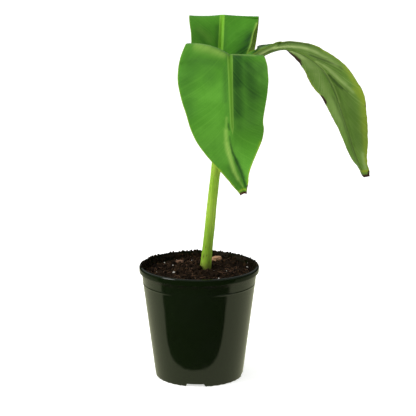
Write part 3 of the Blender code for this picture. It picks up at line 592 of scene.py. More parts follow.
def leaf_lines(tree, seed):
    """Side veins as two sets of soft lines: one for each main side vein, one for the fine ones between."""
    vein, out = attribute(tree, "vein"), attribute(tree, "out")
    slow = sums(tree, "MULTIPLY", out, 9.0)
    lines = []
    for density, detail in ((330.0, 2.0), (1300.0, 1.0)):
        quick = sums(tree, "MULTIPLY", vein, density)
        place = node(tree, "ShaderNodeCombineXYZ", {0: quick, 1: slow, 2: seed})
        lines.append(speckle(tree, place.outputs[0], 1.0, detail, 0.5))
    return lines


def veined(tree, base, seed, paler, darker, amount):
    """The blade's own colour with its side veins drawn in, and the height of their relief."""
    coarse, fine = leaf_lines(tree, seed)
    base = mixed(tree, sums(tree, "MULTIPLY", between(tree, coarse, 0.50, 0.68), amount), base, paler)
    base = mixed(tree, sums(tree, "MULTIPLY", between(tree, fine, 0.48, 0.70), amount), base, darker)
    return base, sums(tree, "MULTIPLY_ADD", coarse, 2.2, sums(tree, "MULTIPLY", fine, 0.7))


def painted_light_and_lime(tree, base, dark, pale, lime):
    """Painted shade from the dark strokes, painted highlight and sheen from the pale strokes, and the blade's
    own yellower zones from the lime strokes.
    """
    streaks = sums(tree, "MULTIPLY_ADD", leaf_lines(tree, 7.0)[0], 1.1, 0.45)
    base = mixed(tree, sums(tree, "MULTIPLY", attribute(tree, "dark"), streaks, clamp=True), base, dark)
    base = mixed(tree, sums(tree, "MULTIPLY", attribute(tree, "pale"), streaks, clamp=True), base, pale)
    return mixed(tree, attribute(tree, "lime"), base, lime)


def spotted(tree, base, brown, tan, place):
    """Dry tan scars and dead brown patches over a leaf's own colour, with ragged edges."""
    ragged = sums(tree, "MULTIPLY_ADD", speckle(tree, place, 420, 4, 0.6), 0.6, -0.30)
    dry = between(tree, sums(tree, "ADD", attribute(tree, "tan"), ragged), 0.35, 0.60)
    dead = between(tree, sums(tree, "ADD", attribute(tree, "brown"), ragged), 0.36, 0.60)
    base = mixed(tree, dry, base, tan)
    return mixed(tree, dead, base, brown)


def finish_blade(tree, shader, place, base, relief, rough, level, height):
    """Join a blade's colour, satin sheen and vein relief to its shader."""
    tree.links.new(base, shader.inputs["Base Color"])
    low, spread = rough
    sheen = sums(tree, "MULTIPLY_ADD", speckle(tree, place, 60, 4), spread, low)
    tree.links.new(sheen, shader.inputs["Roughness"])
    shader.inputs["Specular IOR Level"].default_value = level
    bumped(tree, shader, relief, height, 0.8)


def make_upper(name, dark, light, rib, seed):
    """Upper side of a blade: satin green with fine side veins, a pale midrib and a thin pale margin."""
    made, tree, shader = new_material(name)
    place = own_place(tree)
    out = sums(tree, "ABSOLUTE", attribute(tree, "out"))
    base = mixed(tree, between(tree, speckle(tree, place, 30, 4), 0.35, 0.65), dark, light)
    base, relief = veined(tree, base, seed, color(0.125, 0.345, 0.035), color(0.030, 0.130, 0.010), 0.22)
    # Painted shade in deep green and painted highlight in pale green along the strokes, then the leaf's own
    # yellowing
    base = painted_light_and_lime(tree, base, color(0.016, 0.070, 0.008), color(0.250, 0.440, 0.075),
                 color(0.300, 0.460, 0.030))
    inside = sums(tree, "SUBTRACT", attribute(tree, "rib"), out)
    bright = mixed(tree, 0.22, rib, color(0.300, 0.520, 0.100))
    ridged = mixed(tree, between(tree, inside, 0.0022, 0.0010), rib, bright)
    base = mixed(tree, sums(tree, "MULTIPLY", between(tree, inside, -0.0005, 0.0006), 0.92), base, ridged)
    rim = sums(tree, "MULTIPLY_ADD", attribute(tree, "share"), 0.7, 0.20, clamp=True)
    margin = sums(tree, "MULTIPLY", between(tree, attribute(tree, "edge"), 0.0014, 0.0004), rim)
    base = mixed(tree, margin, base, color(0.300, 0.420, 0.035))
    base = mixed(tree, attribute(tree, "sheath"), base, SHEATH_GREEN)
    base = spotted(tree, base, color(0.075, 0.028, 0.012), color(0.34, 0.28, 0.08), place)
    finish_blade(tree, shader, place, base, relief, (0.42, 0.14), 0.12, 0.00014)
    return made


def make_under(name, dark, light, rib, seed):
    """Underside of a blade: greyed by wax, with the side veins and the keel a little raised."""
    made, tree, shader = new_material(name)
    place = own_place(tree)
    out = sums(tree, "ABSOLUTE", attribute(tree, "out"))
    base = mixed(tree, between(tree, speckle(tree, place, 22, 5), 0.35, 0.65), dark, light)
    base, relief = veined(tree, base, seed, color(0.210, 0.310, 0.085), color(0.055, 0.115, 0.014), 0.34)
    # Painted shade in deep green and painted highlight in pale grey-green along the strokes, then the leaf's
    # own yellowing
    base = painted_light_and_lime(tree, base, color(0.030, 0.064, 0.008), color(0.340, 0.450, 0.150),
                 color(0.230, 0.290, 0.010))
    base = mixed(tree, sums(tree, "MULTIPLY", between(tree, out, 0.0020, 0.0008), 0.45), base, rib)
    margin = between(tree, attribute(tree, "edge"), 0.0028, 0.0006)
    base = mixed(tree, sums(tree, "MULTIPLY", margin, 0.60), base, color(0.190, 0.240, 0.012))
    base = mixed(tree, attribute(tree, "sheath"), base, SHEATH_GREEN)
    base = spotted(tree, base, color(0.036, 0.015, 0.009), color(0.28, 0.20, 0.06), place)
    finish_blade(tree, shader, place, base, relief, (0.50, 0.16), 0.10, 0.00018)
    return made


def make_sheath():
    """Stem skin: yellow-green with fine lengthwise lines, browned at the foot and in small marks."""
    made, tree, shader = new_material("sheath_skin")
    place = own_place(tree)
    around, up = attribute(tree, "around"), attribute(tree, "height")
    slow = sums(tree, "MULTIPLY", up, 22.0)
    lined = node(tree, "ShaderNodeCombineXYZ", {0: sums(tree, "MULTIPLY", around, 9.0), 1: slow, 2: 0.0})
    lines = speckle(tree, lined.outputs[0], 1.0, 4.0, 0.65)
    base = mixed(tree, between(tree, speckle(tree, place, 40, 4), 0.35, 0.65),
                 color(0.190, 0.345, 0.020), color(0.255, 0.400, 0.034))
    base = mixed(tree, sums(tree, "MULTIPLY", between(tree, lines, 0.50, 0.68), 0.6), base,
                 color(0.33, 0.45, 0.07))
    base = mixed(tree, sums(tree, "MULTIPLY", between(tree, lines, 0.46, 0.30), 0.6), base,
                 color(0.12, 0.24, 0.016))
    stain_place = node(tree, "ShaderNodeCombineXYZ", {0: sums(tree, "MULTIPLY", around, 2.4),
                                                      1: sums(tree, "MULTIPLY", up, 95.0), 2: 4.0})
    stains = between(tree, speckle(tree, stain_place.outputs[0], 1.0, 3.0, 0.6), 0.66, 0.74)
    low = between(tree, up, 0.185, 0.143)
    base = mixed(tree, sums(tree, "MULTIPLY", stains, sums(tree, "MULTIPLY_ADD", low, 0.7, 0.15)), base,
                 color(0.070, 0.045, 0.012))
    base = mixed(tree, sums(tree, "MULTIPLY", between(tree, up, 0.152, 0.140), 0.75), base,
                 color(0.120, 0.100, 0.028))
    base = mixed(tree, sums(tree, "MULTIPLY", attribute(tree, "seam"), 0.55), base, color(0.10, 0.13, 0.022))
    base = mixed(tree, attribute(tree, "mark"), base, color(0.050, 0.030, 0.010))
    tree.links.new(base, shader.inputs["Base Color"])
    tree.links.new(sums(tree, "MULTIPLY_ADD", lines, 0.20, 0.38), shader.inputs["Roughness"])
    shader.inputs["Specular IOR Level"].default_value = 0.16
    shader.inputs["Subsurface Weight"].default_value = 0.55
    shader.inputs["Subsurface Radius"].default_value = (0.0060, 0.0080, 0.0020)
    shader.inputs["Subsurface Scale"].default_value = 1.0
    bumped(tree, shader, lines, 0.00025, 0.7)
    return made


def add_mesh(name, points, faces, finishes, face_finish=None):
    """A smooth-shaded object from points and faces, with its material slots."""
    mesh = bpy.data.meshes.new(name)
    faces = faces.tolist() if isinstance(faces, np.ndarray) else faces
    mesh.from_pydata(np.asarray(points).tolist(), [], faces)
    for finish in finishes:
        mesh.materials.append(finish)
    if face_finish is not None:
        mesh.polygons.foreach_set("material_index", np.asarray(face_finish, np.int32))
    mesh.shade_smooth()
    mesh.update()
    piece = bpy.data.objects.new(name, mesh)
    bpy.context.scene.collection.objects.link(piece)
    return piece


def paint(piece, name, values):
    layer = piece.data.attributes.new(name, "FLOAT", "POINT")
    layer.data.foreach_set("value", np.asarray(values, np.float32).reshape(-1))


def settle(piece, slot, *nodes):
    """The piece moves with the plant and stands for the named solids; its slot is not used."""
    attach(piece, "root")
    if nodes:
        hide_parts(*nodes)


def wall_radius(height):
    """Outer radius of the tapered pot wall at a height."""
    share = height / (POT_HEIGHT - LIP_HEIGHT)
    return BASE_RADIUS + (WALL_TOP_RADIUS - BASE_RADIUS) * share


def rounded(points, corner, steps=4):
    """A profile with each of its inner corners turned into a small curve."""
    p = [np.array(point, float) for point in points]
    run = [p[0]]
    for before, here, after in zip(p, p[1:], p[2:]):
        back, on = before - here, after - here
        cut = min(corner, 0.4 * np.linalg.norm(back), 0.4 * np.linalg.norm(on))
        one = here + back / np.linalg.norm(back) * cut
        other = here + on / np.linalg.norm(on) * cut
        for t in np.linspace(0, 1, steps + 1):
            run.append((1 - t) ** 2 * one + 2 * t * (1 - t) * here + t ** 2 * other)
    run.append(p[-1])
    return np.array(run)


def pot_profile():
    """From the middle of the inner floor, up the inside, over the rolled lip and down to the base."""
    lip_low = POT_HEIGHT - LIP_HEIGHT
    skirt = RIM_RADIUS - WALL
    inner = [
        (CENTRE_PAD_RADIUS * 0.5, FLOOR),
        (CENTRE_PAD_RADIUS, FLOOR),
        (CENTRE_PAD_RADIUS + 0.002, FLOOR_RISE + FLOOR),
        (wall_radius(FLOOR_RISE) - WALL - 0.002, FLOOR_RISE + FLOOR),
        (wall_radius(0.008) - WALL, 0.008),
        (wall_radius(0.070) - WALL, 0.070),
        (wall_radius(0.120) - WALL, 0.120),
        (wall_radius(lip_low) - WALL, lip_low),
        (wall_radius(lip_low) - WALL + 0.0012, POT_HEIGHT - 0.0010),
    ]
    lip = [
        (RIM_RADIUS - 0.0034, POT_HEIGHT),
        (RIM_RADIUS - 0.0010, POT_HEIGHT),
        (RIM_RADIUS, POT_HEIGHT - 0.0016),
        (RIM_RADIUS - 0.0001, lip_low + 0.0016),
        (RIM_RADIUS - 0.0005, lip_low),
        (skirt, lip_low + 0.0003),
        (skirt, POT_HEIGHT - 0.0032),
        (WALL_TOP_RADIUS + 0.0004, POT_HEIGHT - 0.0032),
        (WALL_TOP_RADIUS, lip_low),
    ]
    outer = [
        (wall_radius(BEAD_HEIGHT + 0.0012), BEAD_HEIGHT + 0.0012),
        (wall_radius(BEAD_HEIGHT) + BEAD_STEP, BEAD_HEIGHT),
        (wall_radius(BEAD_HEIGHT - 0.0012), BEAD_HEIGHT - 0.0012),
        (wall_radius(0.060), 0.060),
        (wall_radius(0.0060), 0.0060),
        (wall_radius(0.0025), 0.0025),
        (BASE_RADIUS - 0.0002, 0),
    ]
    under = [
        (BASE_RADIUS - FOOT_WIDTH, 0),
        (BASE_RADIUS - FOOT_WIDTH - 0.001, FLOOR_RISE),
        (CENTRE_PAD_RADIUS + 0.002 + WALL, FLOOR_RISE),
        (CENTRE_PAD_RADIUS + WALL, 0),
        (CENTRE_PAD_RADIUS * 0.5, 0),
    ]
    return rounded(inner + lip + outer + under, 0.0006)


def foot_lift(angle):
    """How far the pot's foot is raised at an angle: a drainage notch, or the shallow scallops between."""
    spacing = 2 * np.pi / NOTCH_COUNT
    off = (angle - NOTCH_TURN + spacing / 2) % spacing - spacing / 2
    beyond = np.abs(off) * BASE_RADIUS - NOTCH_WIDTH / 2
    notch = np.clip(0.5 - beyond / NOTCH_EASE, 0, 1)
    notch = notch * notch * (3 - 2 * notch) * (FLOOR_RISE - 0.0003)
    scallop = SCALLOP_HEIGHT * np.abs(np.sin(np.pi * np.maximum(beyond, 0) / SCALLOP_PITCH)) ** 1.5
    return np.maximum(notch, scallop)


def make_pot(plastic):
    """The profile turned round, with the foot notched and scalloped and the floor drilled."""
    profile = pot_profile()
    turns = np.linspace(0, 2 * np.pi, POT_STEPS, endpoint=False)
    foot = (profile[:, 0] > BASE_RADIUS - FOOT_WIDTH - 0.0012) & (profile[:, 1] < FLOOR_RISE)
    points = []
    for turn in turns:
        lifted = np.where(foot, np.maximum(profile[:, 1], foot_lift(turn)), profile[:, 1])
        points.append(np.stack([profile[:, 0] * math.cos(turn), profile[:, 0] * math.sin(turn), lifted], 1))
    count = len(profile)
    points = np.concatenate(points).tolist()
    faces = []
    for step in range(POT_STEPS):
        one, other = step * count, (step + 1) % POT_STEPS * count
        faces += [(one + k, one + k + 1, other + k + 1, other + k) for k in range(count - 1)]
    for row, height in ((0, FLOOR), (count - 1, 0)):
        centre = len(points)
        points.append([0, 0, height])
        for step in range(POT_STEPS):
            pair = (step * count + row, (step + 1) % POT_STEPS * count + row)
            faces.append((centre, *pair) if row else (centre, *pair[::-1]))
    piece = add_mesh("pot_shell", points, faces, [plastic])
    drill(piece)
    piece.data.shade_smooth()
    piece.data.set_sharp_from_angle(angle=math.radians(55))
    settle(piece, "pot", "pot")


def drill(piece):
    """The four drain holes through the pot's floor."""
    work = bmesh.new()
    for number in range(NOTCH_COUNT):
        angle = NOTCH_TURN + number * 2 * math.pi / NOTCH_COUNT
        x, y = DRAIN_CIRCLE * math.cos(angle), DRAIN_CIRCLE * math.sin(angle)
        bmesh.ops.create_cone(work, cap_ends=True, segments=40, radius1=DRAIN_RADIUS, radius2=DRAIN_RADIUS,
                              depth=3 * FLOOR_RISE, matrix=Matrix.Translation((x, y, FLOOR_RISE)))
    drills = bpy.data.meshes.new("drills")
    work.to_mesh(drills)
    work.free()
    cutter = bpy.data.objects.new("drills", drills)
    bpy.context.scene.collection.objects.link(cutter)
    boolean = piece.modifiers.new("drain holes", "BOOLEAN")
    boolean.operation = "DIFFERENCE"
    boolean.solver = "EXACT"
    boolean.object = cutter
    depsgraph = bpy.context.evaluated_depsgraph_get()
    mesh = bpy.data.meshes.new_from_object(piece.evaluated_get(depsgraph))
    piece.modifiers.clear()
    piece.data = mesh
    bpy.data.objects.remove(cutter)


def soil_height(x, y):
    """The mix's height: a low mound banked up at the back right."""
    reach = wall_radius(SOIL_EDGE) - WALL
    share = min(math.hypot(x, y) / reach, 1)
    mound = SOIL_MOUND * (1 - share ** 2)
    bank = SOIL_BANK * max(0, (0.5 * x + y) / reach) ** 2
    heap = HEAP_HEIGHT * math.exp(-((x - HEAP_AT[0]) ** 2 + (y - HEAP_AT[1]) ** 2) / HEAP_WIDTH ** 2)
    return SOIL_EDGE + mound + bank + heap


def dents(x, y, density, seed):
    return noise.noise(Vector((x * density, y * density, seed)))


def soil_relief(x, y):
    """Clods, crumbs and pits on top of the mound."""
    clods = CLOD_RELIEF * dents(x, y, 110, 2.0)
    crumbs = CRUMB_RELIEF * dents(x, y, 330, 5.0)
    pits = PIT_RELIEF * max(0, dents(x, y, 210, 9.0)) ** 1.5
    grit = GRIT_RELIEF * dents(x, y, 1100, 7.0)
    return clods + crumbs + pits + grit


def soil_top(x, y):
    """Height of the mix's rough top."""
    return soil_height(x, y) + soil_relief(x, y)


def make_soil(mix):
    """The body of the mix, with its rough top as a fine ring grid."""
    reach = wall_radius(SOIL_EDGE) - WALL - 0.0001
    turns = np.linspace(0, 2 * np.pi, SOIL_STEPS, endpoint=False)
    points = [(0, 0, soil_top(0, 0))]
    for ring in range(1, SOIL_RINGS + 1):
        radius = reach * ring / SOIL_RINGS
        for turn in turns:
            x, y = radius * math.cos(turn), radius * math.sin(turn)
            points.append((x, y, soil_top(x, y)))
    low = [(wall_radius(0.070) - WALL - 0.0003, 0.070), (wall_radius(0.009) - WALL - 0.0003, 0.009),
           (wall_radius(0.009) - WALL - 0.003, FLOOR_RISE + FLOOR + 0.0003)]
    for radius, height in low:
        points += [(radius * math.cos(turn), radius * math.sin(turn), height) for turn in turns]
    rings = SOIL_RINGS + len(low)
    faces = [(0, 1 + k, 1 + (k + 1) % SOIL_STEPS) for k in range(SOIL_STEPS)]
    for ring in range(rings - 1):
        one, other = 1 + ring * SOIL_STEPS, 1 + (ring + 1) * SOIL_STEPS
        faces += [(one + k, other + k, other + (k + 1) % SOIL_STEPS, one + (k + 1) % SOIL_STEPS)
                  for k in range(SOIL_STEPS)]
    centre = len(points)
    points.append((0, 0, low[-1][1]))
    last = 1 + (rings - 1) * SOIL_STEPS
    faces += [(centre, last + (k + 1) % SOIL_STEPS, last + k) for k in range(SOIL_STEPS)]
    piece = add_mesh("potting_mix", points, faces, [mix])
    paint(piece, "shade", np.full(len(points), 0.25))
    settle(piece, "soil", "soil")


def ball(level):
    """Points and triangles of a unit ball."""
    work = bmesh.new()
    bmesh.ops.create_icosphere(work, subdivisions=level, radius=1)
    points = np.array([vert.co for vert in work.verts])
    faces = np.array([[vert.index for vert in face.verts] for face in work.faces])
    work.free()
    return points, faces


def lump_shapes(level, count, rng):
    """Broken lumps: balls with noise dents and a few flat faces knocked on."""
    points, faces = ball(level)
    shapes = []
    for number in range(count):
        seed = Vector((number * 3.7, 1.3, 5.1))
        grown = np.array([1 + LUMP_DEPTH * noise.noise(Vector(p) * 1.8 + seed) for p in points])
        shape = points * grown[:, None]
        for cut in range(4):
            direction = rng.normal(size=3)
            direction /= np.linalg.norm(direction)
            over = np.maximum(shape @ direction - 0.62, 0)
            shape = shape - 0.9 * over[:, None] * direction
        shapes.append(shape)
    return shapes, faces


def gathered(name, lumps, faces, finish):
    """One piece from many lumps: each is (points, shade)."""
    points = np.concatenate([lump[0] for lump in lumps])
    each = len(lumps[0][0])
    all_faces = np.concatenate([faces + each * k for k in range(len(lumps))])
    piece = add_mesh(name, points, all_faces, [finish])
    paint(piece, "shade", np.repeat([lump[1] for lump in lumps], each))
    return piece


def placed(shape, size, turn, place):
    """A lump turned, scaled and put in its place."""
    spun = np.array(Euler(turn).to_matrix())
    return (shape * size) @ spun.T + place


def random_spot(rng, reach):
    radius = reach * math.sqrt(rng.random())
    turn = rng.random() * 2 * math.pi
    return radius * math.cos(turn), radius * math.sin(turn)


def make_crumbs(mix):
    """Loose clods and crumbs, sunk a little into the top of the mix."""
    rng = np.random.default_rng(11)
    reach = wall_radius(SOIL_EDGE) - WALL - 0.0022
    for name, level, count, (low, high) in (("soil_clods", 2, CLOD_COUNT, CLOD_SIZES),
                                            ("soil_crumbs", 1, CRUMB_COUNT, CRUMB_SIZES)):
        shapes, faces = lump_shapes(level, 12, rng)
        lumps = []
        for number in range(count):
            x, y = random_spot(rng, reach - high)
            size = low + (high - low) * rng.random() ** 2
            spread = size * rng.uniform(0.7, 1.2, 3)
            place = (x, y, soil_top(x, y) + 0.25 * size)
            turn = rng.uniform(0, FULL_TURN, 3)
            lumps.append((placed(shapes[number % len(shapes)], spread, turn, place), rng.random() ** 2))
        settle(gathered(name, lumps, faces, mix), "soil")


def make_rim_dirt(mix):
    """Crumbs left on the lip and stuck on the inside of the wall."""
    rng = np.random.default_rng(5)
    shapes, faces = lump_shapes(1, 8, rng)
    lumps = []
    for number in range(RIM_DIRT_COUNT):
        turn = rng.normal(RIM_DIRT_BEARING, RIM_DIRT_SPREAD)
        size = rng.uniform(*RIM_DIRT_SIZES)
        on_lip = number % 3 == 0
        radius = RIM_RADIUS - 0.0022 if on_lip else wall_radius(0.140) - WALL - 0.4 * size
        height = POT_HEIGHT + 0.35 * size if on_lip else rng.uniform(SOIL_EDGE + 0.001, POT_HEIGHT - 0.003)
        place = (radius * math.cos(turn), radius * math.sin(turn), height)
        spread = size * rng.uniform(0.7, 1.5, 3)
        spin = rng.uniform(0, FULL_TURN, 3)
        lumps.append((placed(shapes[number % len(shapes)], spread, spin, place), rng.random()))
    settle(gathered("rim_dirt", lumps, faces, mix), "soil")


def ring_faces(rings, sides):
    """Faces of a closed round form: quads from ring to ring, and a flat cap at each end."""
    faces = []
    for ring in range(rings - 1):
        one, two = ring * sides, (ring + 1) * sides
        faces += [(one + k, one + (k + 1) % sides, two + (k + 1) % sides, two + k) for k in range(sides)]
    faces.append(tuple(range(sides))[::-1])
    faces.append(tuple((rings - 1) * sides + k for k in range(sides)))
    return faces


def tube(path, radii, sides):
    """Points of a round tube along a path."""
    path = np.asarray(path, float)
    ahead = np.gradient(path, axis=0)
    ahead /= np.linalg.norm(ahead, axis=1)[:, None]
    side = np.cross(ahead, (0.13, 0.21, 0.97))
    side /= np.linalg.norm(side, axis=1)[:, None]
    other = np.cross(ahead, side)
    turns = np.linspace(0, 2 * np.pi, sides, endpoint=False)
    rings = (path[:, None] + np.asarray(radii)[:, None, None]
             * (np.cos(turns)[None, :, None] * side[:, None] + np.sin(turns)[None, :, None] * other[:, None]))
    return rings.reshape(-1, 3)


def make_fibres(bark):
    """Thin roots and coir fibres that lie on the mix."""
    rng = np.random.default_rng(23)
    points, faces = [], []
    sides = 5
    for number in range(FIBRE_COUNT):
        x, y = random_spot(rng, FIBRE_REACH)
        heading, bend = rng.uniform(0, FULL_TURN), rng.normal(0, 1.2)
        length = rng.uniform(*FIBRE_LENGTHS)
        path = []
        for t in np.linspace(0, 1, FIBRE_STEPS):
            lift = 0.0006 + 0.0016 * math.sin(math.pi * t)
            path.append((x, y, soil_top(x, y) + lift))
            x += math.cos(heading + bend * t) * length / (FIBRE_STEPS - 1)
            y += math.sin(heading + bend * t) * length / (FIBRE_STEPS - 1)
        taper = 1 - 0.6 * np.abs(np.linspace(-1, 1, FIBRE_STEPS))
        faces += [tuple(index + len(points) for index in face) for face in ring_faces(FIBRE_STEPS, sides)]
        points += tube(path, FIBRE_RADIUS * taper * rng.uniform(0.7, 1.5), sides).tolist()
    settle(add_mesh("fibres", points, faces, [bark]), "bark_brown")


def make_chip(bit, finish, slot, replaced):
    """A broken chip of bark, with layers that stand out at its edges."""
    points, faces = ball(5)
    grown = []
    for p in points:
        at = Vector(p)
        layers = 0.10 * noise.noise(Vector((at.x * 0.8, at.y * 2.0, at.z * 9.0)))
        grown.append(1 + 0.24 * noise.noise(at * 1.7 + Vector((len(bit.name), 0, 0))) + layers
                     + 0.05 * noise.noise(at * 7.0))
    shape = points * np.array(grown)[:, None]
    over = np.maximum(np.abs(shape) - 0.82, 0)
    shape = shape - 0.7 * np.sign(shape) * over
    lying = (0.12, -0.10, math.radians(bit.turn))
    chip = placed(shape, np.array(bit.size) / 2, lying, (bit.x, bit.y, bit.z))
    settle(add_mesh(bit.name, chip, faces, [finish]), slot, replaced)


def make_grains(perlite):
    """Grains of perlite: three larger ones and a scatter of small ones."""
    points, faces = ball(3)
    rng = np.random.default_rng(3)
    for bit, replaced in zip(PERLITE, ("perlite_front", "perlite_stem", "perlite_right")):
        grown = [1 + 0.30 * noise.noise(Vector(p) * 2.6 + Vector((bit.turn, 0, 0))) for p in points]
        shape = placed(points * np.array(grown)[:, None], np.array(bit.size) / 2,
                       (0, 0, math.radians(bit.turn)), (bit.x, bit.y, bit.z))
        settle(add_mesh(bit.name, shape, faces, [perlite]), "perlite", replaced)
    shapes, small_faces = lump_shapes(2, 6, rng)
    lumps = []
    for number, (x, y, size) in enumerate(SMALL_PERLITE):
        place = (x, y, soil_top(x, y) + 0.25 * size)
        spin = rng.uniform(0, FULL_TURN, 3)
        lumps.append((placed(shapes[number % len(shapes)], SMALL_PERLITE_SHARE * size, spin, place), 1.0))
    settle(gathered("perlite_grains", lumps, small_faces, perlite), "perlite")


def smooth_run(points, per_span):
    """Points along a centripetal Catmull-Rom curve through the given ones, per_span to each span."""
    p = np.array(points, float)
    p = np.vstack([2 * p[0] - p[1], p, 2 * p[-1] - p[-2]])
    run = []
    for i in range(1, len(p) - 2):
        p0, p1, p2, p3 = p[i - 1:i + 3]
        t0 = 0.0
        t1 = t0 + np.linalg.norm(p1 - p0) ** 0.5
        t2 = t1 + np.linalg.norm(p2 - p1) ** 0.5
        t3 = t2 + np.linalg.norm(p3 - p2) ** 0.5
        for t in np.linspace(t1, t2, per_span, endpoint=False):
            a1 = (t1 - t) / (t1 - t0) * p0 + (t - t0) / (t1 - t0) * p1
            a2 = (t2 - t) / (t2 - t1) * p1 + (t - t1) / (t2 - t1) * p2
            a3 = (t3 - t) / (t3 - t2) * p2 + (t - t2) / (t3 - t2) * p3
            b1 = (t2 - t) / (t2 - t0) * a1 + (t - t0) / (t2 - t0) * a2
            b2 = (t3 - t) / (t3 - t1) * a2 + (t - t1) / (t3 - t1) * a3
            run.append((t2 - t) / (t2 - t1) * b1 + (t - t1) / (t2 - t1) * b2)
    run.append(p[-2])
    return np.array(run)


def eased(at, values, where):
    """A smooth curve through values set at the places in at, read at the places in where."""
    at, values = np.array(at, float), np.array(values, float)
    slope = np.gradient(values, at, axis=0)
    slope[0] = slope[-1] = 0
    span = np.clip(np.searchsorted(at, where, side="right") - 1, 0, len(at) - 2)
    width = at[span + 1] - at[span]
    u = ((where - at[span]) / width)[:, None]
    rise = values[span + 1] - values[span]
    into, out = slope[span] * width[:, None], slope[span + 1] * width[:, None]
    return values[span] + u * (into + u * (3 * rise - 2 * into - out + u * (into + out - 2 * rise)))


def stem_marks(turns, height, radius):
    """How brown the stem's skin is around one of its rings."""
    covered = np.zeros(len(turns))
    for bearing, level, half_width, half_height in STEM_MARKS:
        off = (turns - math.radians(bearing) + np.pi) % (2 * np.pi) - np.pi
        spot = np.exp(-(off * radius / half_width) ** 2 - ((height - level) / half_height) ** 2)
        covered = np.maximum(covered, spot)
    return covered


def make_stem(skin):
    """The roll of leaf sheaths: each sheath's edge is a small step that winds slowly up the stem."""
    rows = smooth_run(STEM, STEM_RINGS_BETWEEN)
    turns = np.linspace(0, 2 * np.pi, STEM_SIDES, endpoint=False)
    points, layers = [], {name: [] for name in ("around", "height", "seam", "mark")}
    for x, y, z, radius in rows:
        winding = SHEATH_TWIST * (z - STEM[0].z) / (STEM[-1].z - STEM[0].z)
        phase = ((turns + winding) / (2 * np.pi) * SHEATH_EDGES + 0.35) % 1
        step = SHEATH_STEP * (np.clip(phase / 0.10, 0, 1) - phase + 0.9)
        wobble = [noise.noise(Vector((math.cos(turn) * 1.5, math.sin(turn) * 1.5, z * 45))) for turn in turns]
        reach = radius + step + STEM_WOBBLE * np.array(wobble)
        level = np.full(STEM_SIDES, z)
        points.append(np.stack([x + reach * np.cos(turns), y + reach * np.sin(turns), level], 1))
        layers["around"].append(np.abs(turns - np.pi))
        layers["height"].append(level)
        layers["seam"].append(np.clip(1 - np.abs(phase - 0.02) / 0.035, 0, 1))
        layers["mark"].append(stem_marks(turns, z, radius))
    piece = add_mesh("pseudostem_skin", np.concatenate(points), ring_faces(len(rows), STEM_SIDES), [skin])
    for name, values in layers.items():
        paint(piece, name, np.concatenate(values))
    settle(piece, "pseudostem", "pseudostem")


def stem_at(height):
    """Middle of the pseudostem at a height, along X and Y."""
    z = [ring.z for ring in STEM]
    return [float(np.interp(height, z, [ring[k] for ring in STEM])) for k in (0, 1)]


def sheath_stations(leaf):
    """The leaf's own stations after those of its sheath, which wraps the stem below the throat."""
    outward = np.array([math.cos(leaf.bearing), math.sin(leaf.bearing)])
    yaw = math.degrees(leaf.bearing) + 90
    wraps = []
    for height, reach in SHEATH_ROWS:
        x, y = np.array(stem_at(height)) + (reach + leaf.hug) * outward
        wraps.append(Station(x, y, height, yaw, 0, 0, 0, SHEATH_WRAP, SHEATH_WRAP))
    neck = wraps[-1]
    own = leaf.stations[0]
    middle = [(a + b) / 2 for a, b in zip(neck[:3], own[:3])]
    wraps.append(Station(*middle, yaw, 0, 30, 30, 55, 55))
    return wraps + leaf.stations


def half_widths(leaf, along, side):
    """Distance from midrib to margin at each place along the leaf."""
    at = [edge.along for edge in leaf.outline]
    width = eased(at, [[edge[1 + side]] for edge in leaf.outline], np.clip(along, at[0], at[-1]))[:, 0]
    share = np.clip((along - at[0]) / (at[-1] - at[0]), 0, 1)
    least = PETIOLE_HALF_WIDTH + (TIP_HALF_WIDTH - PETIOLE_HALF_WIDTH) * share ** 0.5
    return np.maximum(width, least)


def leaf_frame(leaf):
    """Along each row of the leaf: its place, its three directions, its angles and its distance along."""
    stations = sheath_stations(leaf)
    fine = 2 * leaf.rows_between
    line = smooth_run([station[:3] for station in stations], fine)
    run = np.concatenate([[0], np.cumsum(np.linalg.norm(np.diff(line, axis=0), axis=1))])
    first_own = (len(stations) - len(leaf.stations)) * fine
    run = run - run[first_own] + leaf.start
    along, place = run[::2], line[::2]
    step = 0.0015
    ahead = np.stack([np.interp(along + step, run, line[:, k]) for k in range(3)], 1)
    behind = np.stack([np.interp(along - step, run, line[:, k]) for k in range(3)], 1)
    forward = ahead - behind
    forward /= np.linalg.norm(forward, axis=1)[:, None]
    angles = np.radians(eased(run[::fine], [station[3:] for station in stations], along))
    yaw, roll = angles[:, 0], angles[:, 1]
    across = np.stack([np.cos(yaw) * np.cos(roll), np.sin(yaw) * np.cos(roll), np.sin(roll)], 1)
    across -= (across * forward).sum(1)[:, None] * forward
    across /= np.linalg.norm(across, axis=1)[:, None]
    upward = np.cross(forward, across)
    return place, across, upward, angles, along


def sheath_widths(leaf, along):
    """Half width of the sheath below the petiole, 0 where the petiole has taken over."""
    below = leaf.start - along
    at, width = zip(*SHEATH_WIDTHS)
    return np.where(below > 0, np.interp(below, at, width), 0)


def leaf_zones(leaf, along):
    """How far along the blade each row is, how much of it is petiole, and how deep its keel is."""
    base, tip = leaf.outline[0].along, leaf.outline[-1].along
    share = np.clip((along - base) / (tip - base), 0, 1)
    petiole = np.clip(1 - (along - 0.6 * base) / (0.4 * base), 0, 1)
    sheath = np.clip((leaf.start - 0.004 - along) / 0.020, 0, 1)
    blade_keel = leaf.keel + (1.6 * BLADE - leaf.keel) * share ** 0.7
    keel = np.where(petiole > 0, PETIOLE_DEPTH * petiole + leaf.keel * (1 - petiole), blade_keel)
    return share, petiole, keel * (1 - sheath) + SHEATH_THICKNESS * sheath


